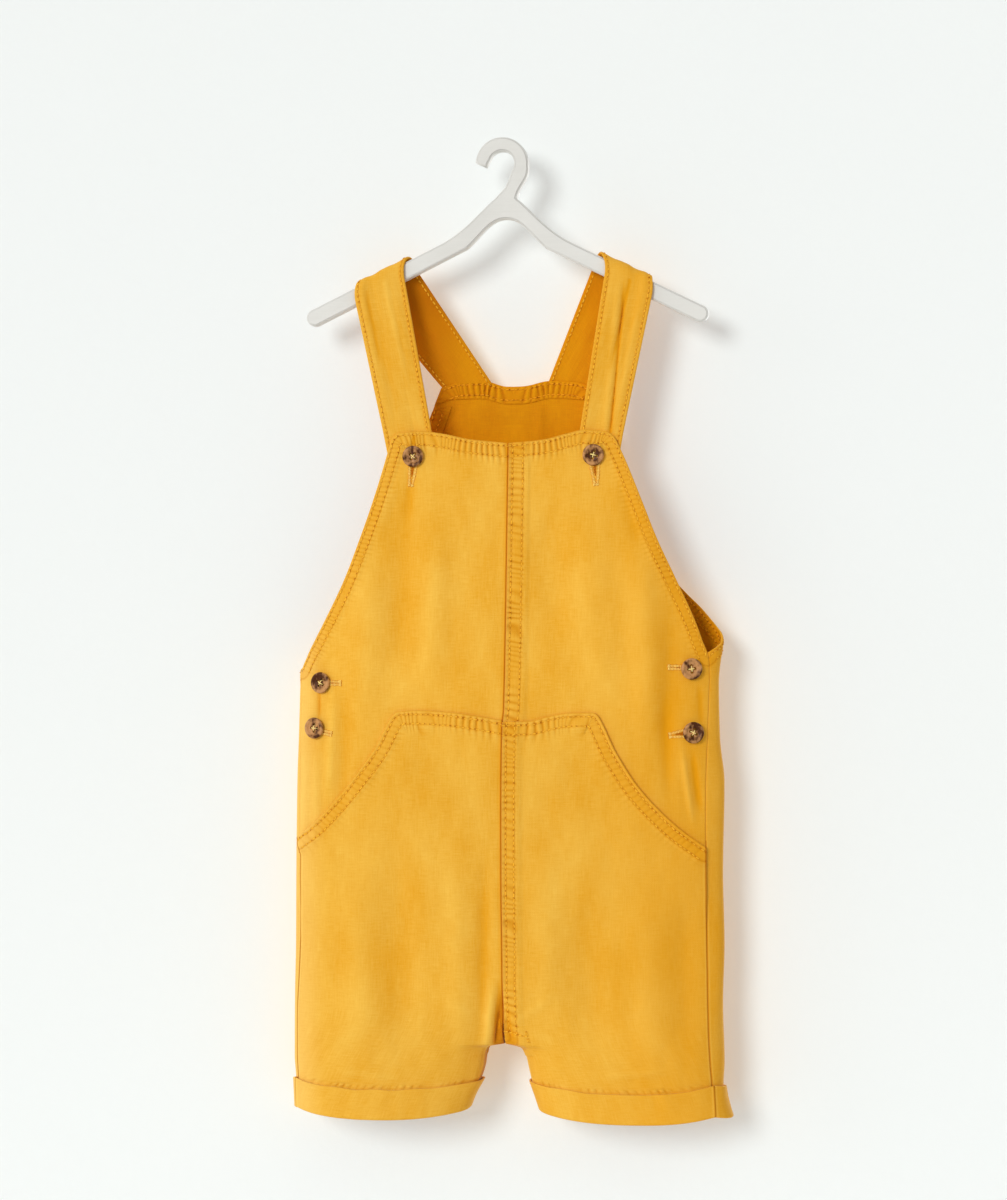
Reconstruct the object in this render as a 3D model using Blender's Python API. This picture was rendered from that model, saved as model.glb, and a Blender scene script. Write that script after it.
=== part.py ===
"""Toddler's short dungarees in mustard cotton twill, buttoned up and hung on a flat white hanger.

The frame: the origin is the inside top of the hanger's hook, where a peg or a rail carries it. +Z is up,
the front faces -Y, and left and right are as seen from the front, so that left is -X.
Every length in this file is in millimetres, and build_object() turns them into metres.

The cloth hangs on one form, a flat tube that parts into two legs at the crotch. FORM gives its sections,
and half_rings() works out the left or the right half of each one. A point of a panel is named by its level
(its height) and by its share of the way round that half ring, from the centre front to the centre back.
Each panel is a wall between two offsets from the form, so layers that lie on each other never meet.
"""

import math
from collections import namedtuple

import bmesh
import bpy
import numpy as np
from mathutils import Matrix, Vector

MM = 0.001

# Driving dimensions.
CLOTH = 1.6  # one wall of cloth
GAP = 0.3  # between two pieces that are sewn or laid together
CROTCH = -587.5  # level where the two legs part
CROTCH_RISE = 46.0  # height over which the centre seams curve under to the crotch
HEM = -636.4  # lowest fold of the leg
HEM_RISE = 5.0  # how much the hem climbs towards the side seam and the inseam
CUFF_HEIGHT = 20.0
STRAP_CLOTH = 2.0  # two layers, turned and pressed
BUTTON_WIDTH = 14.0
BOARD = 9.0  # thickness of the hanger

SIDES = {"left": -1, "right": 1}

# The form: its left and right edges at each level, and how far it stands out to the front and back.
FormRow = namedtuple("FormRow", "level left right front back")
FORM = (
    FormRow(-148, -121, 132, 13.5, 17.0),
    FormRow(-185, -126, 137, 15.0, 18.5),
    FormRow(-250, -131, 142, 19.0, 21.5),
    FormRow(-320, -134.5, 145.5, 23.0, 24.0),
    FormRow(-350, -135.5, 142.8, 24.0, 25.0),
    FormRow(-385, -136.5, 143.5, 25.5, 26.0),
    FormRow(-416, -137.5, 146.5, 26.5, 27.0),
    FormRow(-475, -138.2, 145.5, 28.0, 28.0),
    FormRow(-520, -138.4, 146.5, 28.0, 28.5),
    FormRow(-560, -139, 145.5, 28.0, 28.0),
    FormRow(-598, -139, 146.5, 27.5, 26.5),
    FormRow(-612, -138, 145.8, 27.0, 26.0),
    FormRow(-640, -137, 152.5, 28.5, 27.0),
)

# The centre seams above the crotch, and the inseam of each leg below it.
CentreRow = namedtuple("CentreRow", "level front back")
CENTRE = (
    CentreRow(-148, 6.2, 5.5),
    CentreRow(-300, 5.2, 4.5),
    CentreRow(-368, 4.2, 4.0),
    CentreRow(-376, 3.4, 4.0),
    CentreRow(-420, 3.0, 3.8),
    CentreRow(-560, 3.6, 3.6),
    CentreRow(CROTCH, 3.0, 3.0),
)
InseamRow = namedtuple("InseamRow", "level left right")
INSEAM = (
    InseamRow(CROTCH, 3.0, 3.0),
    InseamRow(-589.5, -3.5, 7.5),
    InseamRow(-593.5, -8.0, 12.5),
    InseamRow(-601, -10.8, 16.5),
    InseamRow(-609, -13.0, 19.0),
    InseamRow(-622, -19.5, 23.5),
    InseamRow(-640, -26.0, 29.5),
)

# Outer edge of the front: the armhole down to the underarm, then the side opening and the side seam.
EdgeRow = namedtuple("EdgeRow", "level left right")
FRONT_EDGE = (
    EdgeRow(-184, -70.4, 73.2),
    EdgeRow(-205, -76.2, 83.2),
    EdgeRow(-230, -84.0, 93.4),
    EdgeRow(-256, -93.2, 103.8),
    EdgeRow(-282, -103.2, 116.0),
    EdgeRow(-309, -116.8, 128.4),
    EdgeRow(-322, -124.0, 133.2),
    EdgeRow(-333, -129.8, 137.2),
    EdgeRow(-343, -133.4, 137.8),
    EdgeRow(-388, -134.4, 136.4),
    EdgeRow(-416, -134.6, 135.6),
    EdgeRow(-458, -134.4, 135.6),
    EdgeRow(-570, -136.0, 137.5),
    EdgeRow(-640, -134.0, 141.5),
)
# Outer edge of the back, as a length of cloth from the centre back seam, down to the underarm.
BACK_EDGE = (
    EdgeRow(-150, -47.0, 52.0),
    EdgeRow(-169, -52.0, 56.5),
    EdgeRow(-196, -60.0, 64.0),
    EdgeRow(-222, -69.0, 73.5),
    EdgeRow(-249, -79.0, 86.0),
    EdgeRow(-276, -92.0, 102.0),
    EdgeRow(-292, -101.0, 117.0),
    EdgeRow(-301, -106.0, 127.0),
    EdgeRow(-309, -112.0, 135.0),
    EdgeRow(-320, -121.0, 147.0),
    EdgeRow(-327, -129.0, 158.0),
    EdgeRow(-333, -140.0, 172.0),
    EdgeRow(-343, -170.0, 190.0),
)
# Upper outlines, as a share of the way from the centre seam to the outer edge.
OutlineRow = namedtuple("OutlineRow", "share left right")
BIB_TOP = (
    OutlineRow(0.0, -193.0, -193.0),
    OutlineRow(0.35, -190.3, -190.8),
    OutlineRow(0.62, -186.4, -186.8),
    OutlineRow(0.82, -184.8, -184.4),
    OutlineRow(1.0, -185.6, -185.2),
)
BACK_TOP = (
    OutlineRow(0.0, -154.0, -154.0),
    OutlineRow(0.28, -151.2, -152.4),
    OutlineRow(0.45, -150.4, -150.8),
    OutlineRow(0.78, -150.8, -151.4),
    OutlineRow(1.0, -154.6, -155.6),
)
# The pocket's edge: along the top to its corner, then down the hand opening to the side seam.
PocketRow = namedtuple("PocketRow", "reach level")
POCKET_CORNER = {"left": 0.495, "right": 0.435}
POCKET = {
    "left": (
        PocketRow(0.0, -374.2),
        PocketRow(0.14, -371.0),
        PocketRow(0.26, -369.0),
        PocketRow(0.40, -368.1),
        PocketRow(0.495, -368.9),
        PocketRow(0.60, -393.5),
        PocketRow(0.70, -412.0),
        PocketRow(0.80, -428.5),
        PocketRow(0.91, -443.5),
        PocketRow(1.0, -452.5),
    ),
    "right": (
        PocketRow(0.0, -375.2),
        PocketRow(0.13, -374.6),
        PocketRow(0.22, -371.6),
        PocketRow(0.32, -369.3),
        PocketRow(0.435, -369.0),
        PocketRow(0.56, -395.8),
        PocketRow(0.66, -415.8),
        PocketRow(0.76, -431.0),
        PocketRow(0.87, -444.5),
        PocketRow(1.0, -457.0),
    ),
}

# Soft folds in the cloth: where each one runs, its width, and how far it stands out (or in, if negative).
FoldRow = namedtuple("FoldRow", "face x_top x_bottom top bottom width depth")
FOLDS = (
    FoldRow("front", -40, -58, -205, -350, 13, -1.3),
    FoldRow("front", -84, -92, -255, -390, 12, 1.2),
    FoldRow("front", 46, 62, -215, -345, 14, -1.2),
    FoldRow("front", 92, 98, -280, -410, 12, 1.1),
    FoldRow("front", -60, -86, -470, -610, 16, -1.2),
    FoldRow("front", -28, -44, -520, -615, 14, 1.4),
    FoldRow("front", 48, 62, -480, -600, 16, 1.2),
    FoldRow("front", 96, 104, -500, -615, 14, -1.2),
    FoldRow("back", -30, -48, -190, -340, 14, -1.4),
    FoldRow("back", 40, 66, -200, -360, 15, 1.3),
    FoldRow("back", 92, 84, -340, -480, 14, -1.3),
    FoldRow("back", -84, -70, -350, -500, 15, 1.4),
    FoldRow("back", -56, -80, -480, -612, 16, -1.4),
    FoldRow("back", 52, 84, -500, -612, 16, 1.3),
)

TOP_LEVEL, BOTTOM_LEVEL, LEVEL_STEP = -148.0, -640.0, 0.5
ROUNDNESS = 2.6  # exponent of the sections: 2 is an ellipse, more is boxier


def smooth(rows, column, at):
    """A column of a table at any level: a curve through its rows that never overshoots them."""
    key = rows[0]._fields[0]
    table = sorted((getattr(row, key), getattr(row, column)) for row in rows)
    x = np.array([row[0] for row in table], float)
    y = np.array([row[1] for row in table], float)
    at = np.clip(np.asarray(at, float), x[0], x[-1])
    rise = np.diff(y) / np.diff(x)
    product = rise[:-1] * rise[1:]
    total = np.where(np.abs(rise[:-1] + rise[1:]) < 1e-12, 1.0, rise[:-1] + rise[1:])
    slope = np.concatenate([[rise[0]], np.where(product > 0, 2 * product / total, 0.0), [rise[-1]]])
    i = np.clip(np.searchsorted(x, at, side="right") - 1, 0, len(x) - 2)
    width = x[i + 1] - x[i]
    t = (at - x[i]) / width
    return (
        y[i] * (1 + 2 * t) * (1 - t) ** 2
        + slope[i] * width * t * (1 - t) ** 2
        + y[i + 1] * t * t * (3 - 2 * t)
        + slope[i + 1] * width * t * t * (t - 1)
    )


def ease(t):
    """0 to 1, with a level start and end."""
    t = np.clip(t, 0.0, 1.0)
    return t * t * (3 - 2 * t)


def half_rings(side):
    """The form's half rings on one side, one for each level, with points at even shares of each length."""
    levels = np.arange(TOP_LEVEL, BOTTOM_LEVEL - LEVEL_STEP / 2, -LEVEL_STEP)
    turn = np.linspace(0, 1, 121)
    across = (1 - np.cos(np.pi * turn)) / 2  # 0 at the centre seam, 1 at the outer edge
    torso = (1 - across**ROUNDNESS) ** (1 / ROUNDNESS)
    leg = (1 - np.abs(2 * across - 1) ** ROUNDNESS) ** (1 / ROUNDNESS)
    shares = np.linspace(0, 1, 241)
    rings = np.empty((len(levels), len(shares), 2))
    lengths = np.empty(len(levels))
    for i, level in enumerate(levels):
        above = np.clip((level - CROTCH) / CROTCH_RISE, 0, 1)
        closed = math.sqrt(1 - (1 - above) ** 2)
        outer = smooth(FORM, side, level)
        depth = closed * torso + (1 - closed) * leg
        if level > CROTCH:
            middle = [smooth(CENTRE, "front", level), smooth(CENTRE, "back", level)]
        else:
            middle = [smooth(INSEAM, side, level)] * 2
        front_x = middle[0] + across * (outer - middle[0])
        back_x = middle[1] + across * (outer - middle[1])
        front_y = -smooth(FORM, "front", level) * depth
        back_y = smooth(FORM, "back", level) * depth
        x = np.concatenate([front_x, back_x[-2::-1]])
        y = np.concatenate([front_y, back_y[-2::-1]])
        length = np.concatenate([[0], np.cumsum(np.hypot(np.diff(x), np.diff(y)))])
        lengths[i] = length[-1]
        rings[i, :, 0] = np.interp(shares * length[-1], length, x)
        rings[i, :, 1] = np.interp(shares * length[-1], length, y)
    return levels, shares, rings, lengths


HALF_RINGS = {side: half_rings(side) for side in SIDES}


def ring_lookup(side, level, share):
    """x, y of the form at a level and a share of the half ring, for arrays of both."""
    levels, shares, rings, _ = HALF_RINGS[side]
    row = np.clip((levels[0] - level) / LEVEL_STEP, 0, len(levels) - 1.001)
    column = np.clip(share, 0, 1) * (len(shares) - 1.001)
    r, c = row.astype(int), column.astype(int)
    fr, fc = (row - r)[..., None], (column - c)[..., None]
    upper = rings[r, c] * (1 - fc) + rings[r, c + 1] * fc
    lower = rings[r + 1, c] * (1 - fc) + rings[r + 1, c + 1] * fc
    return upper * (1 - fr) + lower * fr


def ring_length(side, level):
    levels, _, _, lengths = HALF_RINGS[side]
    return np.interp(-np.asarray(level), -levels, lengths)


def front_share(side, level):
    """The share of the half ring at which the front's outer edge lies."""
    levels, shares, rings, _ = HALF_RINGS[side]
    edge = smooth(FRONT_EDGE, side, levels)
    found = np.empty(len(levels))
    for i in range(len(levels)):
        outermost = int(np.argmax(np.abs(rings[i, :, 0])))
        reach = rings[i, : outermost + 1, 0] * SIDES[side]
        found[i] = np.interp(edge[i] * SIDES[side], reach, shares[: outermost + 1])
    return np.interp(-np.asarray(level), -levels, found)


def back_share(side, level):
    """The share at which the back's outer edge lies: the armhole, and the side seam below it."""
    reach = np.abs(smooth(BACK_EDGE, side, level)) / ring_length(side, level)
    return np.maximum(1 - reach, front_share(side, level))


def fold_depth(x, y, level):
    """How far the folds push the cloth out along the form's normal."""
    out = np.zeros_like(x)
    for fold in FOLDS:
        down = (fold.top - level) / (fold.top - fold.bottom)
        middle = fold.x_top + (fold.x_bottom - fold.x_top) * down
        along = ease(down / 0.35) * ease((1 - down) / 0.35)
        facing = ease((-y if fold.face == "front" else y) / 6.0)
        out += fold.depth * along * facing * np.exp(-(((x - middle) / fold.width) ** 2))
    return out


def on_form(side, level, share, offset):
    """Points of the cloth, that far outside the form: an array with x, y and z last."""
    level, share = np.broadcast_arrays(np.asarray(level, float), np.asarray(share, float))
    here = ring_lookup(side, level, share)
    step = 0.004
    ahead = ring_lookup(side, level, np.minimum(share + step, 1))
    behind = ring_lookup(side, level, np.maximum(share - step, 0))
    tangent = ahead - behind
    normal = np.stack([tangent[..., 1], -tangent[..., 0]], axis=-1) * SIDES[side]
    normal /= np.maximum(np.linalg.norm(normal, axis=-1, keepdims=True), 1e-9)
    away = np.asarray(offset) + fold_depth(here[..., 0], here[..., 1], level)
    flat = here + normal * away[..., None]
    flat[..., 0] += SIDES[side] * GAP / 2
    return np.concatenate([flat, level[..., None]], axis=-1)


def front_y(x, level):
    """The form's front surface at a place, for what is laid on it."""
    side = "left" if x < smooth(CENTRE, "front", level) else "right"
    shares = np.linspace(0, front_share(side, level), 60)
    points = on_form(side, np.full(60, level), shares, 0.0)
    order = np.argsort(points[:, 0])
    return float(np.interp(x, points[order, 0], points[order, 1]))


def split_quads(points, faces):
    """Cuts each quad along its shorter diagonal, so that layers that lie on each other are cut alike."""
    made = []
    for face in faces:
        if len(face) != 4:
            made.append(face)
            continue
        a, b, c, d = face
        if np.linalg.norm(points[a] - points[c]) < np.linalg.norm(points[b] - points[d]):
            made += [(a, b, c), (a, c, d)]
        else:
            made += [(b, c, d), (b, d, a)]
    return made


def build_object(name, points, faces, material):
    """One closed body from points in millimetres, with its faces turned outwards."""
    mesh = bpy.data.meshes.new(name)
    mesh.from_pydata([tuple(p) for p in np.asarray(points) * MM], [], split_quads(points, faces))
    shape = bmesh.new()
    shape.from_mesh(mesh)
    bmesh.ops.recalc_face_normals(shape, faces=shape.faces)
    shape.to_mesh(mesh)
    shape.free()
    mesh.shade_smooth()
    mesh.set_sharp_from_angle(angle=math.radians(50))
    mesh.materials.append(material)
    made = bpy.data.objects.new(name, mesh)
    bpy.context.scene.collection.objects.link(made)
    return made


def wall(name, outer, inner, material):
    """A wall of cloth between two grids of points, closed round its rim."""
    rows, columns = outer.shape[:2]
    count = rows * columns
    points = np.concatenate([outer.reshape(-1, 3), inner.reshape(-1, 3)])
    faces = []
    for r in range(rows - 1):
        for c in range(columns - 1):
            a, b = r * columns + c, r * columns + c + 1
            d, e = a + columns, b + columns
            faces.append((a, b, e, d))
            faces.append((a + count, d + count, e + count, b + count))
    rim = (
        list(range(columns))
        + [r * columns + columns - 1 for r in range(1, rows)]
        + [(rows - 1) * columns + c for c in range(columns - 2, -1, -1)]
        + [r * columns for r in range(rows - 2, 0, -1)]
    )
    for a, b in zip(rim, rim[1:] + rim[:1]):
        faces.append((b, a, a + count, b + count))
    return build_object(name, points, faces, material)


def grid_normals(grid):
    down, along = np.gradient(grid, axis=0), np.gradient(grid, axis=1)
    normal = np.cross(along, down)
    return normal / np.maximum(np.linalg.norm(normal, axis=-1, keepdims=True), 1e-9)


def panel(name, side, levels, shares, outside, material):
    """A wall with its outer face that far outside the form, and its inner face one cloth further in."""
    outer = on_form(side, levels, shares, outside)
    inner = on_form(side, levels, shares, np.asarray(outside) - CLOTH)
    return wall(name, outer, inner, material)


def lining(name, side, levels, shares, thickness, material):
    """A piece that lies inside a panel, on the panel's own grid of points."""
    near = on_form(side, levels, shares, -CLOTH - GAP)
    far = on_form(side, levels, shares, -CLOTH - GAP - thickness)
    return wall(name, near, far, material)


def spread(length, fractions, from_edge):
    """Distances of a panel's columns from its centre seam: shares of its width, then steps from its edge."""
    inner = np.asarray(fractions) * (length - from_edge[0])
    outer = length - np.asarray(from_edge)
    return np.concatenate([inner, outer], axis=-1)


def inseam_gap(levels):
    """Half the gap at the inseam, where the front and the back meet edge to edge."""
    return GAP / 2 * (1 - ease((levels - CROTCH) / CROTCH_RISE))


def hem_climb(share_of_panel):
    """How much the hem climbs above its lowest point, at a share of the panel's width."""
    return HEM_RISE * np.abs(2 * share_of_panel - 1) ** 2.5


def corner_rounding(below_top, radius):
    """How far a rounded corner draws the edge in, that far below the top."""
    t = np.clip(1 - below_top / radius, 0, 1)
    return radius * (1 - np.sqrt(1 - t * t))


FRONT_FROM_EDGE = (26.0, 19.0, 13.0, 8.0, 4.0, 0.0)
BACK_FROM_EDGE = (34.0, 25.0, 18.0, 12.0, 8.0, 4.0, 0.0)
HEM_LEVEL = np.array([[-625.0]])
LEG_ROWS = (-480, -506, -530, -549, -560, -570, -578, -583.5, -586.4, -587.5, -588.5, -590.5, -595, -601)
FOOT_ROWS = (HEM + 28, HEM + CUFF_HEIGHT, HEM + 10, HEM + CLOTH + GAP)


def front_grid(side, levels, fractions):
    """Shares of the front's columns at those levels, and each column's share of the panel's width."""
    length = ring_length(side, levels)
    width = front_share(side, levels) * length
    distance = spread(width, fractions, FRONT_FROM_EDGE)
    in_panel = distance / width
    return (distance + inseam_gap(levels) * (1 - in_panel)) / length, in_panel


def back_grid(side, levels, fractions):
    """The same for the back, counted from the centre back seam."""
    length = ring_length(side, levels)
    width = (1 - back_share(side, levels)) * length - GAP
    distance = spread(width, fractions, BACK_FROM_EDGE)
    in_panel = distance / width
    return 1 - (distance + inseam_gap(levels) * (1 - in_panel)) / length, in_panel


def per_column(grid, side, levels, fractions):
    """A grid whose rows are not level: each column is placed at its own levels."""
    found = [grid(side, levels[:, i : i + 1], fractions) for i in range(levels.shape[1])]
    return tuple(np.stack([pair[k][:, i] for i, pair in enumerate(found)], 1) for k in (0, 1))


def rows_of(nominal):
    """Nominal levels as a column, before each panel column shifts them to follow its top edge and its hem."""
    return np.array(nominal, float)[:, None]


BIB_COLUMNS = (0, 0.2, 0.4, 0.6, 0.8)
BIB_TOP_ROWS = (-193, -194.2, -196.5, -200.5)
BIB_ROWS = BIB_TOP_ROWS + (-212, -230, -248, -266, -284, -300, -314, -327, -338, -350, -363, -376, -390)
BIB_CORNER = 6.0
BEHIND_POCKET = 15.0  # how far the bib runs on behind the pocket's edge


def front_bib(side, material):
    """One half of the bib. It runs on behind the pocket's edge, as the pocket's back layer."""
    nominal = rows_of(BIB_ROWS)
    _, at_top = front_grid(side, np.array([[-195.0]]), BIB_COLUMNS)
    _, at_foot = front_grid(side, np.array([[-400.0]]), BIB_COLUMNS)
    top = smooth(BIB_TOP, side, at_top)
    foot = smooth(POCKET[side], "level", at_foot) - BEHIND_POCKET
    near_top = np.clip(1 - (nominal[0] - nominal) / 60, 0, 1)
    near_foot = np.clip((-250 - nominal) / (-250 - nominal[-1]), 0, 1) ** 1.6
    levels = nominal + (top - nominal[0]) * near_top + (foot - nominal[-1]) * near_foot
    shares, in_panel = per_column(front_grid, side, levels, BIB_COLUMNS)
    rounding = corner_rounding(top[0, -1] - levels[:, -1:], BIB_CORNER) / ring_length(side, levels)
    panel(f"front_bib_{side}", side, levels, shares - in_panel * rounding, 0.0, material)


def leg_columns(side):
    """The lower front's columns, one of them on the pocket's corner."""
    level = np.array([[-369.0]])
    width = float(front_share(side, level)[0, 0] * ring_length(side, level)[0, 0])
    corner = POCKET_CORNER[side] * width / (width - FRONT_FROM_EDGE[0])
    return (0, 0.025, 0.05, 0.085, 0.14, 0.24, 0.36, 0.48, corner, corner + 0.14, corner + 0.29)


def front_leg(side, material):
    """The lower front from the pocket's edge to the hem, lying on the bib down to the pocket's foot."""
    columns = leg_columns(side)
    nominal = rows_of((-374, -377, -384, -398, -415, -434, -455) + LEG_ROWS + FOOT_ROWS)
    _, at_top = front_grid(side, np.array([[-400.0]]), columns)
    top_shift = smooth(POCKET[side], "level", at_top) - nominal[0]
    near_top = np.clip(1 - (nominal[0] - nominal) / 150, 0, 1) ** 1.15
    _, at_hem = front_grid(side, HEM_LEVEL, columns)
    climb = hem_climb(at_hem) * ease((-580 - nominal) / 30)
    levels = nominal + top_shift * near_top + climb
    shares, _ = per_column(front_grid, side, levels, columns)
    outside = (GAP + CLOTH) * ease((levels + 530) / 50)
    panel(f"front_leg_{side}", side, levels, shares, outside, material)


BACK_COLUMNS = (0, 0.025, 0.05, 0.09, 0.15, 0.3, 0.52, 0.74, 0.9)
NECK_ROWS = (-153, -157.5, -162.5, -167)  # the facing lies inside these
ARMHOLE_ROWS = (-169, -184, -204, -226, -248, -268, -284, -296, -306, -314, -320.5, -326)
BACK_ROWS = (-330.5, -335, -340, -346, -358, -376, -396, -418, -442, -460)


def back_levels_and_shares(side):
    nominal = rows_of(NECK_ROWS + ARMHOLE_ROWS + BACK_ROWS + LEG_ROWS + FOOT_ROWS)
    _, in_panel = back_grid(side, np.array([[-160.0]]), BACK_COLUMNS)
    _, at_hem = back_grid(side, HEM_LEVEL, BACK_COLUMNS)
    top_shift = smooth(BACK_TOP, side, in_panel) - nominal[0]
    near_top = np.clip(1 - (NECK_ROWS[-1] - nominal) / 50, 0, 1)
    levels = nominal + top_shift * near_top + hem_climb(at_hem) * ease((-580 - nominal) / 30)
    shares, _ = per_column(back_grid, side, levels, BACK_COLUMNS)
    return levels, shares


def back_panel(side, material):
    """One half of the back, from the neckline to the hem."""
    levels, shares = back_levels_and_shares(side)
    panel(f"back_{side}", side, levels, shares, 0.0, material)


FACING_CLOTH = 1.0


def neck_facing(material):
    """The strip sewn inside the back's neckline, right across both halves of the back."""
    depth = len(NECK_ROWS)
    halves = {}
    for side in SIDES:
        levels, shares = (grid[:depth] for grid in back_levels_and_shares(side))
        near = on_form(side, levels, shares, -CLOTH - GAP)[:, 1:]
        far = on_form(side, levels, shares, -CLOTH - GAP - FACING_CLOTH)[:, 1:]
        halves[side] = near, far
    near, far = (np.concatenate([halves["left"][i][:, ::-1], halves["right"][i]], axis=1) for i in (0, 1))
    wall("back_neck_facing", near, far, material)


def armhole_facing(side, material):
    """The strip sewn inside the back's armhole, from under the neck facing to the underarm."""
    first = len(NECK_ROWS)
    last = first + len(ARMHOLE_ROWS) - 1
    levels, shares = (grid[first:last, -4:] for grid in back_levels_and_shares(side))
    lining(f"back_armhole_facing_{side}", side, levels, shares, FACING_CLOTH, material)


UNDERLAP_LEVELS = {"left": (-345.5, -414.0), "right": (-335.5, -414.0)}


def underlap(side, material):
    """The back's extension behind the front at the side opening, which carries the two side buttons."""
    levels = rows_of(np.linspace(*UNDERLAP_LEVELS[side], 7))
    shares, _ = front_grid(side, levels, BIB_COLUMNS)
    lining(f"side_underlap_{side}", side, levels, shares[:, -len(FRONT_FROM_EDGE) :], 1.4, material)


# The cuff's section: how far outside the form, and how far above the hem.
SectionRow = namedtuple("SectionRow", "offset height")
OUTSIDE, INSIDE, LIP = GAP + CLOTH, -CLOTH - GAP - 1.2, 10.0
CUFF_SECTION = (
    SectionRow(OUTSIDE, CUFF_HEIGHT),
    SectionRow(OUTSIDE, 10.0),
    SectionRow(OUTSIDE, 1.0),
    SectionRow(OUTSIDE - 1.0, 0.0),
    SectionRow(INSIDE + 0.8, 0.0),
    SectionRow(INSIDE, 0.8),
    SectionRow(INSIDE, LIP),
    SectionRow(-CLOTH - GAP, LIP),
    SectionRow(-CLOTH - GAP, CLOTH),
    SectionRow(GAP, CLOTH),
    SectionRow(GAP, 10.0),
    SectionRow(GAP, CUFF_HEIGHT),
)


def cuff(side, material):
    """The turned-up hem: a band that wraps the foot of the leg, tall outside and short inside."""
    columns = leg_columns(side)
    _, in_front = front_grid(side, HEM_LEVEL, columns)
    _, in_back = back_grid(side, HEM_LEVEL, BACK_COLUMNS)
    rings = []
    for row in CUFF_SECTION:
        front_levels = HEM + row.height + hem_climb(in_front)
        back_levels = HEM + row.height + hem_climb(in_back)
        front, _ = per_column(front_grid, side, front_levels, columns)
        back, _ = per_column(back_grid, side, back_levels, BACK_COLUMNS)
        levels = np.concatenate([front_levels[0], back_levels[0, ::-1]])
        shares = np.concatenate([front[0], back[0, ::-1]])
        rings.append(on_form(side, levels, shares, row.offset))
    build_object(f"cuff_{side}", np.concatenate(rings), tube_faces(len(rings), len(rings[0])), material)


def tube_faces(rings, count):
    """Quads that join closed rings of points, the last ring to the first."""
    faces = []
    for i in range(rings):
        j = (i + 1) % rings
        for k in range(count):
            m = (k + 1) % count
            faces.append((i * count + k, i * count + m, j * count + m, j * count + k))
    return faces


# The hanger: a hook, a neck and two arms cut from one board.
HOOK_RADIUS = 8.2  # inside the hook
HOOK_BAND = 9.2
ARMS_CENTRE = 2.6  # the arms' middle, right of the hook's
ARM_TOP = (44.0, -61.2)  # where the straight part of an arm starts, out from the middle, and its level
ARM_TIP = (130.5, -103.5)
ARM_HEIGHT = 11.0
ARM_SLOPE = (ARM_TIP[1] - ARM_TOP[1]) / (ARM_TIP[0] - ARM_TOP[0])


def arm_level(x):
    """Level of the arm's upper edge under x."""
    return ARM_TOP[1] + ARM_SLOPE * (abs(x - ARMS_CENTRE) - ARM_TOP[0])


def arc(centre, radius, start, end, steps):
    return [
        (centre[0] + radius * math.cos(math.radians(a)), centre[1] + radius * math.sin(math.radians(a)))
        for a in np.linspace(start, end, steps)
    ]


def bezier(a, b, c, d, steps):
    a, b, c, d = (np.array(p, float) for p in (a, b, c, d))
    made = []
    for t in np.linspace(0, 1, steps):
        made.append(tuple(a * (1 - t) ** 3 + 3 * b * t * (1 - t) ** 2 + 3 * c * t * t * (1 - t) + d * t**3))
    return made


def arm_outline():
    """Half of the lower part, out from the middle: shoulder, straight arm, round tip, underside, arch."""
    slope = math.atan(ARM_SLOPE)
    down = (math.sin(slope), -math.cos(slope))
    radius = ARM_HEIGHT / 2
    tip = (ARM_TIP[0] + radius * down[0], ARM_TIP[1] + radius * down[1])
    start = 90 + math.degrees(slope)
    low_tip = (ARM_TIP[0] + ARM_HEIGHT * down[0], ARM_TIP[1] + ARM_HEIGHT * down[1])
    underside = (26.0, low_tip[1] + ARM_SLOPE * (26.0 - low_tip[0]) + 0.6)
    return (
        bezier((8.0, -32.0), (15.0, -37.0), (26.5, -52.6), ARM_TOP, 8)
        + [(88.0, arm_level(88.0 + ARMS_CENTRE))]
        + arc(tip, radius, start, start - 180, 7)
        + bezier(underside, (15.5, -54.8), (10.5, -44.8), (0.0, -44.8), 9)
    )


# The board's edge, rounded front and back: the depth in the board, and how far the outline is drawn in.
BoardRow = namedtuple("BoardRow", "depth inset")
BOARD_EDGE = (
    BoardRow(-BOARD / 2, 1.8),
    BoardRow(-BOARD / 2 + 0.5, 0.5),
    BoardRow(-BOARD / 2 + 1.8, 0.0),
    BoardRow(BOARD / 2 - 1.8, 0.0),
    BoardRow(BOARD / 2 - 0.5, 0.5),
    BoardRow(BOARD / 2, 1.8),
)


def drawn_in(outline, inset):
    """A closed outline that runs clockwise, moved inwards with its corners mitred."""
    before = outline - np.roll(outline, 1, axis=0)
    after = np.roll(outline, -1, axis=0) - outline
    before /= np.linalg.norm(before, axis=1, keepdims=True)
    after /= np.linalg.norm(after, axis=1, keepdims=True)
    inward = np.stack([before[:, 1] + after[:, 1], -before[:, 0] - after[:, 0]], axis=1)
    inward /= np.linalg.norm(inward, axis=1, keepdims=True)
    miter = np.clip(inward[:, 0] * before[:, 1] - inward[:, 1] * before[:, 0], 0.6, 1)
    return outline + inward * (inset / miter)[:, None]


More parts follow.
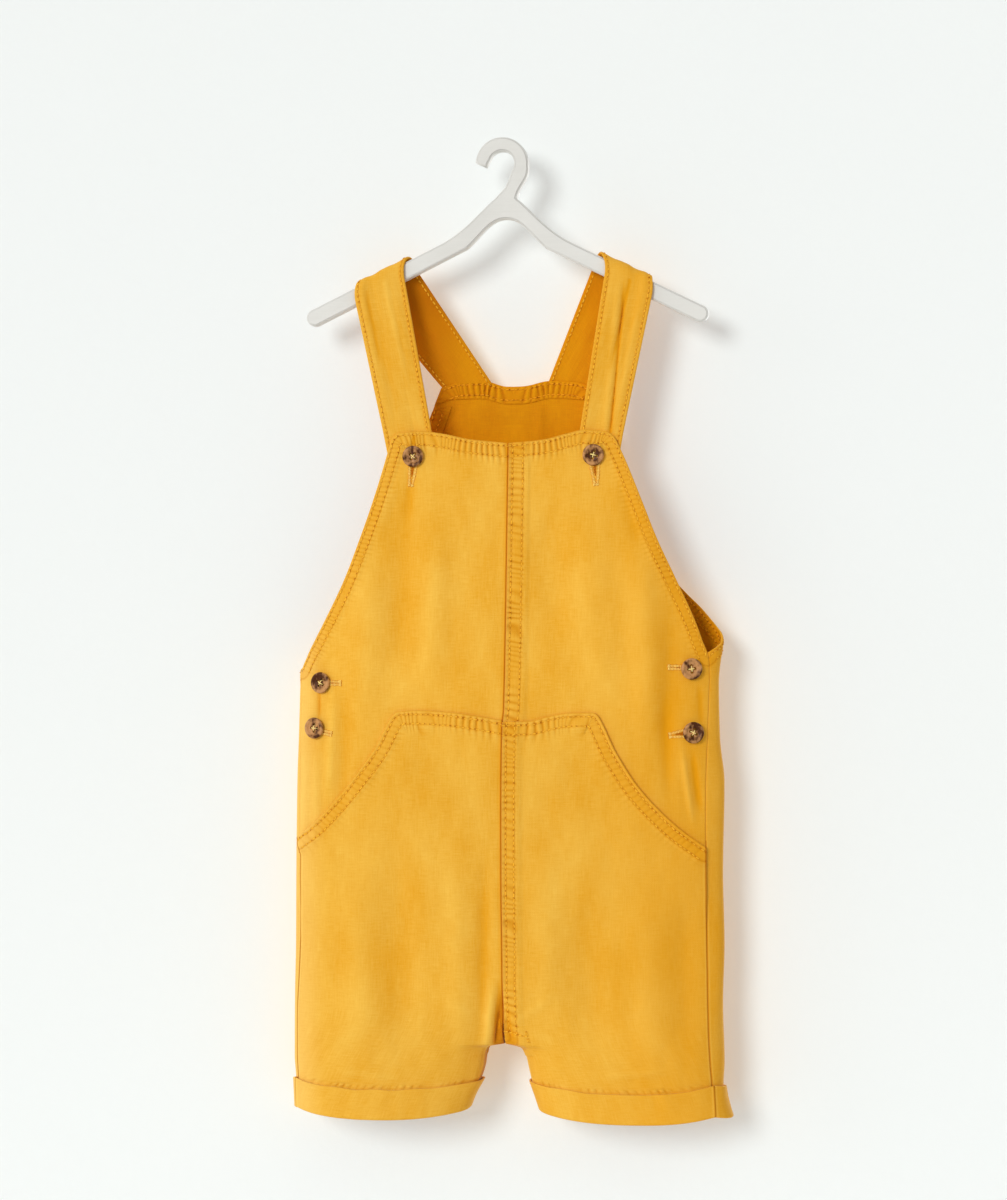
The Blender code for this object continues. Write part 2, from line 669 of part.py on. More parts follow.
def hanger(material):
    """The board: its outline drawn in a little towards its front and its back."""
    centre = (0.0, -HOOK_RADIUS)
    outer = HOOK_RADIUS + HOOK_BAND
    half = arm_outline()
    right = [(ARMS_CENTRE + x, z) for x, z in half]
    left = [(ARMS_CENTRE - x, z) for x, z in reversed(half[:-1])]
    outline = (
        arc(centre, outer, 184, 0, 14)
        + bezier((17.4, -12.5), (17.0, -20.0), (10.5, -24.5), (9.6, -31.0), 6)
        + right
        + left
        + bezier((2.2, -24.0), (4.2, -19.5), (5.0, -17.5), (6.2, -14.2), 5)
        + arc(centre, HOOK_RADIUS, -36, 186, 12)
    )
    outline = np.array(outline)
    count = len(outline)
    rings = []
    for row in BOARD_EDGE:
        drawn = drawn_in(outline, row.inset)
        rings.append(np.column_stack([drawn[:, 0], np.full(count, row.depth), drawn[:, 1]]))
    faces = tube_faces(len(rings), count)[: -count]
    faces += [tuple(range(count)), tuple(range(len(rings) * count - 1, (len(rings) - 1) * count - 1, -1))]
    return build_object("hanger", np.concatenate(rings), faces, material)


# The straps: where each edge runs from behind the bib, over the arm of the hanger, to the back's neckline.
StrapRow = namedtuple("StrapRow", "edge end_x bib_x front_x rear_x root_x")
STRAPS = {
    "left": (
        StrapRow("outer", -72.0, -77.8, -98.4, -94.5, -42.2),
        StrapRow("inner", -40.5, -45.2, -65.5, -59.5, -8.8),
    ),
    "right": (
        StrapRow("outer", 76.5, 81.2, 100.4, 97.5, 57.6),
        StrapRow("inner", 48.5, 52.4, 69.2, 60.5, 28.2),
    ),
}
STRAP_END = -214.0  # behind the bib
OVER_ARM = (5.4, 6.2, 4.6)  # the fold over the arm: half width, height and drop of its inner face
StrapFold = namedtuple("StrapFold", "side across width depth top bottom")
STRAP_FOLDS = (
    StrapFold("right", 0.45, 0.09, -1.5, 0.08, 1.0),
    StrapFold("right", 0.72, 0.10, 1.0, 0.0, 0.9),
    StrapFold("left", 0.38, 0.16, -0.7, 0.1, 0.7),
)


def strap_middle(side):
    """The strap's middle surface, as rows from its front end to its root on the back."""
    across = np.linspace(0, 1, 6)
    outer, inner = STRAPS[side]

    def at(column):
        return getattr(outer, column) + across * (getattr(inner, column) - getattr(outer, column))

    behind_bib = CLOTH + GAP + STRAP_CLOTH / 2
    half = STRAP_CLOTH / 2
    slant = math.cos(math.atan(ARM_SLOPE))
    arm = np.array([arm_level(x) for x in at("front_x")])
    arm_rear = np.array([arm_level(x) for x in at("rear_x")])
    bib_top = -186.0
    rows = []
    for t in np.linspace(0, 1, 4)[:-1]:
        z = STRAP_END + t * (bib_top - STRAP_END)
        x = at("end_x") + t * (at("bib_x") - at("end_x"))
        rows.append([(a, front_y(a, z) + behind_bib, z) for a in x])
    seat = [front_y(a, bib_top) + behind_bib for a in at("bib_x")]
    width, height, drop = OVER_ARM
    front_plane = -(width + half)
    shoulder = arm - drop / slant
    for t in np.linspace(0, 1, 9)[:-1]:
        x = at("bib_x") + t * (at("front_x") - at("bib_x"))
        z = bib_top + t * (shoulder - bib_top)
        y = np.array(seat) + t * (front_plane - np.array(seat))
        crease = np.zeros_like(x)
        for fold in STRAP_FOLDS:
            if fold.side == side:
                along = ease((t - fold.top) / 0.25) * ease((fold.bottom - t) / 0.25)
                crease += fold.depth * along * np.exp(-(((across - fold.across) / fold.width) ** 2))
        rows.append(list(zip(x, y - crease, z)))
    rear_shoulder = arm_rear - drop / slant
    for turn in np.linspace(0, 180, 11):
        c, s = math.cos(math.radians(turn)), math.sin(math.radians(turn))
        t = turn / 180
        y = -(width + half) * np.sign(c) * abs(c) ** (2 / 3)
        rise = (height + half) * s ** (2 / 3)
        z = shoulder + t * (rear_shoulder - shoulder) + rise / slant
        x = at("front_x") + t * (at("rear_x") - at("front_x"))
        rows.append([(a, y, b) for a, b in zip(x, z)])
    neck_width = abs(smooth(BACK_EDGE, side, -155))
    root_share = np.abs(at("root_x") - smooth(CENTRE, "back", -152)) / neck_width
    root = smooth(BACK_TOP, side, np.clip(root_share, 0, 1)) + 2 * GAP
    back_wall = smooth(FORM, "back", -152) - CLOTH / 2
    for t in np.linspace(0, 1, 9)[1:]:
        x = at("rear_x") + t * (at("root_x") - at("rear_x"))
        z = rear_shoulder + t * (root - rear_shoulder)
        y = (width + half) + t * (back_wall - width - half)
        rows.append([(a, y, b) for a, b in zip(x, z)])
    return np.array(rows)


def strap(side, material):
    middle = strap_middle(side)
    normal = grid_normals(middle) * SIDES[side]
    half = STRAP_CLOTH / 2
    return wall(f"strap_{side}", middle + normal * half, middle - normal * half, material)


# The buttons: a rim, a shallow dish and four holes, 14 mm wide.
ButtonRow = namedtuple("ButtonRow", "name x level")
BUTTONS = (
    ButtonRow("button_bib_left", -57.0, -201.4),
    ButtonRow("button_bib_right", 62.0, -201.0),
    ButtonRow("button_side_left_upper", -118.6, -350.4),
    ButtonRow("button_side_left_lower", -122.8, -380.4),
    ButtonRow("button_side_right_upper", 125.8, -340.6),
    ButtonRow("button_side_right_lower", 127.0, -382.0),
)
TurnedRow = namedtuple("TurnedRow", "radius height")
BUTTON_PROFILE = (
    TurnedRow(0.0, 1.6),
    TurnedRow(3.4, 1.6),
    TurnedRow(5.4, 2.8),
    TurnedRow(6.5, 2.6),
    TurnedRow(BUTTON_WIDTH / 2, 1.6),
    TurnedRow(5.8, 0.0),
    TurnedRow(0.0, 0.0),
)
HOLE_WIDTH, HOLE_SPACING = 1.5, 2.6


def button_mesh(material):
    """The button turned on a lathe, with its holes cut, facing -Y with its back on the origin."""
    profile = bpy.data.meshes.new("button profile")
    points = [(row.radius * MM, 0, row.height * MM) for row in BUTTON_PROFILE]
    profile.from_pydata(points, [(i, i + 1) for i in range(len(points) - 1)], [])
    disc = bpy.data.objects.new("button blank", profile)
    bpy.context.scene.collection.objects.link(disc)
    turning = disc.modifiers.new("turned", "SCREW")
    turning.steps = turning.render_steps = 16
    turning.use_merge_vertices = True
    turning.merge_threshold = 0.01 * MM
    turning.use_normal_calculate = True
    cutter_mesh = bpy.data.meshes.new("holes")
    drills = bmesh.new()
    for sx in (-1, 1):
        for sy in (-1, 1):
            centre = Vector((sx * HOLE_SPACING / 2, sy * HOLE_SPACING / 2, 1.0))
            bmesh.ops.create_cone(
                drills,
                cap_ends=True,
                segments=6,
                radius1=HOLE_WIDTH / 2 * MM,
                radius2=HOLE_WIDTH / 2 * MM,
                depth=8 * MM,
                matrix=Matrix.Translation(centre * MM),
            )
    drills.to_mesh(cutter_mesh)
    drills.free()
    cutter = bpy.data.objects.new("holes", cutter_mesh)
    cutter.hide_render = True
    cutter.display_type = "WIRE"
    bpy.context.scene.collection.objects.link(cutter)
    drilled = disc.modifiers.new("drilled", "BOOLEAN")
    drilled.object = cutter
    bpy.context.view_layer.update()
    made = bpy.data.meshes.new_from_object(disc.evaluated_get(bpy.context.evaluated_depsgraph_get()))
    bpy.data.objects.remove(disc)
    bpy.data.objects.remove(cutter)
    made.transform(Matrix.Rotation(math.radians(90), 4, "X"))
    made.shade_smooth()
    made.set_sharp_from_angle(angle=math.radians(40))
    made.materials.clear()
    made.materials.append(material)
    return made


def buttons(material):
    mesh = button_mesh(material)
    reach = BUTTON_WIDTH / 2 - 1
    for row in BUTTONS:
        here = front_y(row.x, row.level)
        beside = [front_y(row.x + d, row.level) for d in (-reach, reach)]
        turn = math.atan2(beside[1] - beside[0], 2 * reach)
        bulge = max(0.0, (beside[0] + beside[1]) / 2 - here)
        made = bpy.data.objects.new(row.name, mesh)
        bpy.context.scene.collection.objects.link(made)
        stand = GAP + 0.25 + 0.15 * bulge
        place = Vector((row.x + math.sin(turn) * stand, here - math.cos(turn) * stand, row.level))
        made.location = place * MM
        made.rotation_euler = (0, 0, turn)


def material(name, colour, roughness):
    """A plain material of that colour; nothing on the garment or the hanger is metal."""
    made = bpy.data.materials.new(name)
    made.use_nodes = True
    surface = made.node_tree.nodes["Principled BSDF"]
    surface.inputs["Base Color"].default_value = (*colour, 1)
    surface.inputs["Roughness"].default_value = roughness
    surface.inputs["Metallic"].default_value = 0.0
    return made


def main():
    for old in list(bpy.data.objects):
        bpy.data.objects.remove(old)
    twill = material("mustard twill", (0.86, 0.42, 0.035), 0.85)
    facing = material("facing twill", (0.80, 0.36, 0.03), 0.85)
    board = material("white lacquer", (0.82, 0.82, 0.80), 0.5)
    horn = material("brown horn", (0.20, 0.10, 0.05), 0.35)
    for side in SIDES:
        front_bib(side, twill)
        front_leg(side, twill)
        back_panel(side, twill)
        cuff(side, twill)
        strap(side, twill)
        underlap(side, twill)
        armhole_facing(side, facing)
    neck_facing(facing)
    buttons(horn)
    hanger(board)


main()
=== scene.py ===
import math
from collections import namedtuple

import bmesh
import bpy
import numpy as np
from mathutils import Matrix, Vector


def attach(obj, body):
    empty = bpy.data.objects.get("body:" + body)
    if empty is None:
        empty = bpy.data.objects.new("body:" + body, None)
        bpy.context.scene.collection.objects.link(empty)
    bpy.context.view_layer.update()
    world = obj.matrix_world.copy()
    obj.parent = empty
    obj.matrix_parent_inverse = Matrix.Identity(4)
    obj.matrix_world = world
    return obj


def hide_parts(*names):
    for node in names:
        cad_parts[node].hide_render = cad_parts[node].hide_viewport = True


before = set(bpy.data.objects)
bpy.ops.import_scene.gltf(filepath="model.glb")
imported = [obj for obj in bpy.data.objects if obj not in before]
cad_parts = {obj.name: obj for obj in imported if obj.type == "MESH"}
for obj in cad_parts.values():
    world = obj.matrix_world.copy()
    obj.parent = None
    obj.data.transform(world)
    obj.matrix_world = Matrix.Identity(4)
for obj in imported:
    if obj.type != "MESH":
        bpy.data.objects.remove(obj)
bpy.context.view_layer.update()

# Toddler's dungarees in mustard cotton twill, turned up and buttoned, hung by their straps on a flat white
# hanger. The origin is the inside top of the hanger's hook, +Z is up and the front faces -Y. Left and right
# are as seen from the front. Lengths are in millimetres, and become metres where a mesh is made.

# --------------------------------------------------------------------------------------------------
# The back. Two halves of mustard twill, felled together down the centre, and turned in and stitched twice
# along the neckline and the armholes. The cloth hangs as one flat tube that parts into two legs; every other
# piece of the garment lies on this form too.
# --------------------------------------------------------------------------------------------------
MM = 0.001
SIDES = {"left": -1, "right": 1}
CLOTH = 1.6  # one wall of cloth
GAP = 0.3  # between two pieces that are laid together
SEAM_GAP = 0.12  # between two edges that are sewn together
CROTCH, CROTCH_RISE = -587.5, 46.0  # the fork, and how far above it the tube begins to close
PARTING, PARTING_DROP = -560, 80  # where the cloth away from the fork begins to part, and over what drop
HEM, HEM_RISE = -636.4, 5.0  # the legs' foot, and how much it climbs from a panel's middle to its edges
CLIMB_TOP, CLIMB_DROP = -580, 30  # the stretch over which the cloth above takes that climb up
ROUNDNESS = 2.6  # exponent of the form's sections: 2 is an ellipse, more is boxier

FormRow = namedtuple("FormRow", "level left right front back")
FORM = (
    FormRow(-148, -121, 132, 13.5, 17.0),
    FormRow(-185, -126, 137, 15.0, 18.5),
    FormRow(-250, -131, 142, 19.0, 21.5),
    FormRow(-320, -134.5, 145.5, 23.0, 24.0),
    FormRow(-350, -135.5, 142.8, 24.0, 25.0),
    FormRow(-385, -136.5, 143.5, 25.5, 26.0),
    FormRow(-416, -137.5, 146.5, 26.5, 27.0),
    FormRow(-475, -138.2, 145.5, 28.0, 28.0),
    FormRow(-520, -138.4, 146.5, 28.0, 28.5),
    FormRow(-560, -139, 145.5, 28.0, 28.0),
    FormRow(-598, -139, 146.5, 27.5, 26.5),
    FormRow(-612, -138, 145.8, 27.0, 26.0),
    FormRow(-640, -137, 152.5, 28.5, 27.0),
)
CentreRow = namedtuple("CentreRow", "level front back")
CENTRE = (
    CentreRow(-148, 6.2, 5.5),
    CentreRow(-300, 5.2, 4.5),
    CentreRow(-368, 4.2, 4.0),
    CentreRow(-376, 3.4, 4.0),
    CentreRow(-420, 3.0, 3.8),
    CentreRow(-560, 3.6, 3.6),
    CentreRow(CROTCH, 3.0, 3.0),
)
EdgeRow = namedtuple("EdgeRow", "level left right")
INSEAM = (
    EdgeRow(CROTCH, 3.0, 3.0),
    EdgeRow(-588.6, -4.0, 9.0),
    EdgeRow(-590.2, -8.2, 13.0),
    EdgeRow(-594, -9.8, 15.4),
    EdgeRow(-601, -10.8, 17.2),
    EdgeRow(-609, -13.0, 19.0),
    EdgeRow(-622, -19.5, 23.5),
    EdgeRow(-640, -26.0, 29.5),
)
FRONT_EDGE = (
    EdgeRow(-184, -70.4, 73.2),
    EdgeRow(-205, -76.2, 83.2),
    EdgeRow(-230, -84.0, 93.4),
    EdgeRow(-256, -93.2, 103.8),
    EdgeRow(-282, -103.2, 116.0),
    EdgeRow(-309, -116.8, 128.4),
    EdgeRow(-322, -124.0, 133.2),
    EdgeRow(-333, -129.8, 137.2),
    EdgeRow(-343, -133.4, 137.8),
    EdgeRow(-388, -134.4, 136.4),
    EdgeRow(-416, -134.6, 135.6),
    EdgeRow(-456, -134.4, 135.6),
    EdgeRow(-466, -132.4, 135.7),
    EdgeRow(-520, -133.4, 136.5),
    EdgeRow(-570, -135.6, 137.5),
    EdgeRow(-640, -134.0, 141.5),
)
BACK_EDGE = (
    EdgeRow(-150, -47.0, 52.0),
    EdgeRow(-169, -54.6, 57.0),
    EdgeRow(-196, -63.6, 65.0),
    EdgeRow(-222, -69.0, 73.5),
    EdgeRow(-249, -79.0, 86.0),
    EdgeRow(-276, -92.0, 102.0),
    EdgeRow(-292, -101.0, 117.0),
    EdgeRow(-301, -106.0, 127.0),
    EdgeRow(-309, -112.0, 135.0),
    EdgeRow(-320, -118.5, 147.0),
    EdgeRow(-327, -123.5, 158.0),
    EdgeRow(-333, -129.0, 172.0),
    EdgeRow(-340, -142.0, 185.0),
    EdgeRow(-347, -172.0, 192.0),
    EdgeRow(-352, -196.0, 196.0),
    EdgeRow(-436, -196.0, 196.0),
    EdgeRow(-452, -206.0, 206.0),
)
OutlineRow = namedtuple("OutlineRow", "share left right")
BACK_TOP = (
    OutlineRow(0.0, -154.1, -154.1),
    OutlineRow(0.10, -154.0, -154.0),
    OutlineRow(0.22, -152.7, -153.1),
    OutlineRow(0.33, -151.0, -151.6),
    OutlineRow(0.45, -150.4, -150.6),
    OutlineRow(0.78, -150.8, -151.4),
    OutlineRow(1.0, -154.6, -155.6),
)
# Soft folds and creases: the face and the line that each one runs along, its half width, and how far it
# stands out, or in if negative.
FoldRow = namedtuple("FoldRow", "face x_top top x_bottom bottom width depth")
FOLDS = (
    FoldRow("front", -62, -205, -66, -365, 11, -2.4),
    FoldRow("front", -84, -245, -92, -400, 12, 2.6),
    FoldRow("front", -40, -240, -44, -372, 9, 1.6),
    FoldRow("front", 34, -215, 40, -345, 13, -1.8),
    FoldRow("front", 62, -230, 70, -380, 12, 1.6),
    FoldRow("front", 94, -245, 99, -400, 10, 2.8),
    FoldRow("front", 113, -285, 112, -420, 7, -1.6),
    FoldRow("front", -57, -203, -62, -250, 3.5, -0.9),
    FoldRow("front", -56.5, -184, -57.5, -199, 1.1, -0.7),
    FoldRow("front", -68, -214, -84, -262, 4, 0.8),
    FoldRow("front", 80, -214, 92, -262, 4.5, -0.9),
    FoldRow("front", -121, -352, -121, -378, 1.1, -1.0),
    FoldRow("front", -109, -335, -114, -440, 4.0, 1.6),
    FoldRow("front", -100, -345, -104, -450, 5.0, -1.2),
    FoldRow("front", -131, -385, -131, -470, 2.6, 0.9),
    FoldRow("front", -123, -388, -122, -465, 3.2, 1.1),
    FoldRow("front", 119, -386, 128, -446, 1.7, 1.5),
    FoldRow("front", 126, -388, 133, -440, 2.2, -1.2),
    FoldRow("front", 108, -345, 113, -440, 4.5, -1.2),
    FoldRow("front", 131, -346, 133, -384, 2.2, -0.8),
    FoldRow("front", -96, -462, -88, -600, 12, 2.2),
    FoldRow("front", -66, -430, -62, -610, 13, -2.2),
    FoldRow("front", -26, -455, -24, -612, 9, 2.0),
    FoldRow("front", -7, -450, -10, -610, 4.5, -1.5),
    FoldRow("front", -3.0, -535, -12.0, -640, 3.2, 2.2),
    FoldRow("front", 3.0, -540, -3.0, -640, 2.4, -3.8),
    FoldRow("front", 5.5, -550, 4.0, -640, 3.6, -2.4),
    FoldRow("front", 9.0, -568, 11.0, -640, 3.2, -1.7),
    FoldRow("front", 30, -450, 36, -590, 10, 1.6),
    FoldRow("front", 58, -480, 66, -606, 12, -2.0),
    FoldRow("front", 96, -470, 102, -612, 13, 2.2),
    FoldRow("front", 122, -480, 124, -612, 8, -1.4),
    FoldRow("front", 16, -578, 46, -584, 3.0, 0.5),
    FoldRow("front", 14, -570, 38, -552, 2.6, 0.45),
    FoldRow("front", -12, -570, -36, -556, 3.0, 0.5),
    FoldRow("front", -112, -604, -60, -610, 2.4, 0.6),
    FoldRow("front", 60, -606, 118, -601, 2.6, 0.7),
    FoldRow("back", -30, -190, -48, -340, 14, -2.2),
    FoldRow("back", 22, -160, 24, -196, 3.2, -1.2),
    FoldRow("back", -30, -166, -46, -184, 2.6, 1.0),
    FoldRow("back", -24, -176, 16, -181, 2.2, 0.8),
    FoldRow("back", 40, -200, 66, -360, 15, 2.2),
    FoldRow("back", 92, -340, 84, -480, 14, -2.0),
    FoldRow("back", -84, -350, -70, -500, 15, 2.0),
    FoldRow("back", -56, -480, -80, -612, 16, -2.0),
    FoldRow("back", 52, -500, 84, -612, 16, 2.0),
)
FOLD_FADE = 0.35  # the share of its length over which a fold fades at each end
# The cloth's slight unevenness: its height, how it is drawn out down the cloth, its spacing and its seed.
UnevenRow = namedtuple("UnevenRow", "height drawn spacing seed")
UNEVENNESS = (
    UnevenRow(1.1, 0.35, 36, 10),
    UnevenRow(0.4, 0.6, 19, 11),
    UnevenRow(0.16, 0.7, 7, 12),
    UnevenRow(0.05, 0.8, 3.2, 13),
)


def smooth(rows, column, at):
    """A column of a table at any level: a curve through its rows that never overshoots them."""
    key = rows[0]._fields[0]
    table = sorted((getattr(row, key), getattr(row, column)) for row in rows)
    x = np.array([row[0] for row in table], float)
    y = np.array([row[1] for row in table], float)
    at = np.clip(np.asarray(at, float), x[0], x[-1])
    rise = np.diff(y) / np.diff(x)
    product = rise[:-1] * rise[1:]
    total = np.where(np.abs(rise[:-1] + rise[1:]) < 1e-12, 1.0, rise[:-1] + rise[1:])
    slope = np.concatenate([[rise[0]], np.where(product > 0, 2 * product / total, 0.0), [rise[-1]]])
    i = np.clip(np.searchsorted(x, at, side="right") - 1, 0, len(x) - 2)
    width = x[i + 1] - x[i]
    t = (at - x[i]) / width
    return (
        y[i] * (1 + 2 * t) * (1 - t) ** 2
        + slope[i] * width * t * (1 - t) ** 2
        + y[i + 1] * t * t * (3 - 2 * t)
        + slope[i + 1] * width * t * t * (t - 1)
    )


def ease(t):
    """0 to 1, with a level start and end."""
    t = np.clip(t, 0.0, 1.0)
    return t * t * (3 - 2 * t)


def wander(x, y, spacing, seed):
    """A smooth random field between -1 and 1, whose hills are about that many mm apart."""
    lattice = np.random.default_rng(seed).uniform(-1, 1, (128, 128))
    u, v = np.asarray(x) / spacing + 64.3, np.asarray(y) / spacing + 64.7  # from the lattice's middle
    i, j = np.floor(u).astype(int), np.floor(v).astype(int)
    s, t = ease(u - i), ease(v - j)
    i, j = i % 127, j % 127
    upper = lattice[i, j] * (1 - s) + lattice[i + 1, j] * s
    lower = lattice[i, j + 1] * (1 - s) + lattice[i + 1, j + 1] * s
    return upper * (1 - t) + lower * t


LEVELS = np.arange(-148.0, -640.25, -0.5)
SHARES = np.linspace(0, 1, 721)
FACE_POINTS = 241


def half_rings(side):
    """The form's half rings at LEVELS on one side, each with points at even SHARES of its length."""
    across = (1 - np.cos(np.pi * np.linspace(0, 1, FACE_POINTS))) / 2  # 0 at the centre seam, 1 at the side
    torso = (1 - across**ROUNDNESS) ** (1 / ROUNDNESS)
    leg = (1 - np.abs(2 * across - 1) ** ROUNDNESS) ** (1 / ROUNDNESS)
    above = np.clip((LEVELS - CROTCH) / CROTCH_RISE, 0, 1)[:, None]
    inside = ease(1 - across / 0.25)
    closed = inside * np.sqrt(1 - (1 - above) ** 2) + (1 - inside) * ease(above)
    depth = closed * torso + (1 - closed) * leg
    outer = smooth(FORM, side, LEVELS)[:, None]
    foot = smooth(INSEAM, side, LEVELS[-1])
    near = ease(1 - across / 0.3) ** 2  # only the cloth near the fork follows its sharp turn
    xs, ys, walks = [], [], []
    for face, sign in (("front", -1), ("back", 1)):
        seam = smooth(CENTRE, face, LEVELS)
        middle = np.where(LEVELS > CROTCH, seam, smooth(INSEAM, side, LEVELS))[:, None]
        gentle = (seam + (foot - seam) * ease((PARTING - LEVELS) / PARTING_DROP))[:, None]
        plain = gentle + across * (outer - gentle)
        thick = smooth(FORM, face, LEVELS)[:, None]
        xs.append(plain + (middle - gentle) * near)
        ys.append(sign * thick * depth)
        walks.append(np.hypot(np.diff(plain), np.diff(thick * torso)))  # steady from torso to leg
    x = np.concatenate([xs[0], xs[1][:, -2::-1]], axis=1)
    y = np.concatenate([ys[0], ys[1][:, -2::-1]], axis=1)
    steps = np.concatenate([walks[0], walks[1][:, ::-1]], axis=1)
    lengths = np.insert(np.cumsum(steps, axis=1), 0, 0.0, axis=1)
    rings = np.empty((len(LEVELS), len(SHARES), 2))
    for i, length in enumerate(lengths):
        rings[i, :, 0] = np.interp(SHARES * length[-1], length, x[i])
        rings[i, :, 1] = np.interp(SHARES * length[-1], length, y[i])
    return rings, lengths[:, -1]


HALF_RINGS = {side: half_rings(side) for side in SIDES}


def at_level(table, level):
    """A value known at LEVELS, at any level."""
    return np.interp(-np.asarray(level, float), -LEVELS, table)


def ring_length(side, level):
    return at_level(HALF_RINGS[side][1], level)


def ring_point(side, level, share):
    """x and y of the form at a level and a share of the half ring."""
    rings = HALF_RINGS[side][0]
    row = np.clip((LEVELS[0] - level) * 2, 0, len(LEVELS) - 1.001)
    column = np.clip(share, 0, 1) * (len(SHARES) - 1.001)
    r, c = row.astype(int), column.astype(int)
    fr, fc = (row - r)[..., None], (column - c)[..., None]
    upper = rings[r, c] * (1 - fc) + rings[r, c + 1] * fc
    lower = rings[r + 1, c] * (1 - fc) + rings[r + 1, c + 1] * fc
    return upper * (1 - fr) + lower * fr


def edge_shares(side):
    """The share of the half ring at which the front's outer edge lies, at LEVELS."""
    rings = HALF_RINGS[side][0]
    reach = smooth(FRONT_EDGE, side, LEVELS) * SIDES[side]
    found = np.empty(len(LEVELS))
    for i, ring in enumerate(rings):
        outermost = int(np.argmax(np.abs(ring[:, 0]))) + 1
        found[i] = np.interp(reach[i], ring[:outermost, 0] * SIDES[side], SHARES[:outermost])
    return found


EDGE_SHARES = {side: edge_shares(side) for side in SIDES}


def panel_width(side, face, level):
    """A panel's width at a level, round the form from its centre seam to its outer edge."""
    length = ring_length(side, level)
    front = at_level(EDGE_SHARES[side], level) * length
    if face == "front":
        return front
    return np.minimum(np.abs(smooth(BACK_EDGE, side, level)), length - front) - SEAM_GAP


def folded(x, y, level):
    """How far the cloth's folds and its slight unevenness push it off the form, and how sharply: above 0 on
    the ridges of the folds and below 0 in their valleys."""
    facing = {"front": ease(-y / 6.0), "back": ease(y / 6.0)}
    uneven = sum(row.height * wander(x, level * row.drawn, row.spacing, row.seed) for row in UNEVENNESS)
    out = uneven * ease(np.abs(y) / 8.0)
    sharp = np.zeros_like(out)
    for fold in FOLDS:
        run, fall = fold.x_bottom - fold.x_top, fold.bottom - fold.top
        length = math.hypot(run, fall)
        along = ((x - fold.x_top) * run + (level - fold.top) * fall) / length**2
        aside = ((x - fold.x_top) * fall - (level - fold.top) * run) / length
        fading = ease(along / FOLD_FADE) * ease((1 - along) / FOLD_FADE)
        push = fold.depth * fading * facing[fold.face] * np.exp(-((aside / fold.width) ** 2))
        out, sharp = out + push, sharp + push / fold.width
    return out, sharp


def share_of_ring(side, face, places):
    share = places[..., 0] / ring_length(side, places[..., 1])
    return share if face == "front" else 1 - share


def creases(side, face, places):
    """How sharp the folds are at some places on the cloth."""
    here = ring_point(side, places[..., 1], share_of_ring(side, face, places))
    return folded(here[..., 0], here[..., 1], places[..., 1])[1]


def on_form(side, face, places, lift):
    """Points of the cloth. A place is a distance round the form from the panel's centre seam, and a level."""
    away, level = places[..., 0], places[..., 1]
    share = share_of_ring(side, face, places)
    here = ring_point(side, level, share)
    ahead, behind = np.minimum(share + 0.004, 1), np.maximum(share - 0.004, 0)
    tangent = ring_point(side, level, ahead) - ring_point(side, level, behind)
    normal = np.stack([tangent[..., 1], -tangent[..., 0]], axis=-1) * SIDES[side]
    normal /= np.maximum(np.linalg.norm(normal, axis=-1, keepdims=True), 1e-9)
    facing = ease((np.abs(normal[..., 1]) - 0.45) / 0.45)  # the folds fade where the cloth turns round a side
    out = lift + folded(here[..., 0], here[..., 1], level)[0] * facing
    pushed = normal * out[..., None]
    pushed[..., 0] *= np.maximum(ease(away / 3.0), ease(1 - (level - CROTCH) / 6.0))  # seams stay shut
    flat = here + pushed
    flat[..., 0] += SIDES[side] * SEAM_GAP / 2
    return np.concatenate([flat, level[..., None]], axis=-1)


def walked(points, axis=0):
    """How far along their line some points are."""
    steps = np.linalg.norm(np.diff(points, axis=axis), axis=-1)
    return np.insert(np.cumsum(steps, axis=axis), 0, 0.0, axis=axis)


def points_at(line, along):
    """The points of a line at some distances along it."""
    length = walked(line)
    return np.stack([np.interp(along, length, line[:, k]) for k in (0, 1)], axis=-1)


def nearest(line, places, at_once=4096):
    """How far places on the cloth are from a line drawn on it, and how far along the line that is."""
    start, step, before = line[:-1], np.diff(line, axis=0), walked(line)
    span = np.maximum(np.diff(before), 1e-9)
    flat = places.reshape(-1, 2)
    distance, along = np.empty(len(flat)), np.empty(len(flat))
    for first in range(0, len(flat), at_once):
        part = slice(first, first + at_once)
        off = flat[part, None] - start
        t = np.clip((off * step).sum(-1) / span**2, 0, 1)
        gap = np.linalg.norm(off - t[..., None] * step, axis=-1)
        best = gap.argmin(1)
        pick = np.arange(len(best))
        distance[part] = gap[pick, best]
        along[part] = before[best] + t[pick, best] * span[best]
    return distance.reshape(places.shape[:-1]), along.reshape(places.shape[:-1])


# A hem or felled seam: the line that it follows, and the ripples that its stitches pull it into: their height
# before and after its turn, their spacing, and how far past the last row they fade. Then its rows of
# stitches, each as its distance from the line before and after the turn, how far the doubled cloth goes past
# the last row and how much that stands up, how far along the line the turn is, how much the folded edge
# stands up, and how wide a seam crosses its start, too thick to ripple.
NO_TURN = 1e9
HEM_PARTS = "line rope pitch tail rows margin rise turn ridge block"
Hem = namedtuple("Hem", HEM_PARTS, defaults=((), 0.0, 0.0, NO_TURN, 0.0, 0.0))
TURN_LENGTH, HEM_STEP = 12, 1.4  # over which the rows' distances change, and the doubled cloth's height ends
RIDGE_FROM_EDGE, RIDGE_WIDTH = 0.9, 0.7  # where a folded edge stands up
STITCH_DENT, STITCH_DENT_WIDTH = 0.22, 0.9  # how deep and wide a groove a row of stitches draws in
RIPPLE_HEIGHT, RIPPLE_LEAN = 0.6, 0.045  # a ripple's for a pull of 1, and how much it leans away from the hem
FAR = 99.0  # the distance from a hem or a seam where there is none
ROW_STEP = 0.8  # between the points of a row of stitches
SIDE_SEAM_TOP = -452.0
SEAM_SHADE_WIDENING = 0.45  # how much wider a seam's painted shade line is for each mm that the front stands over it
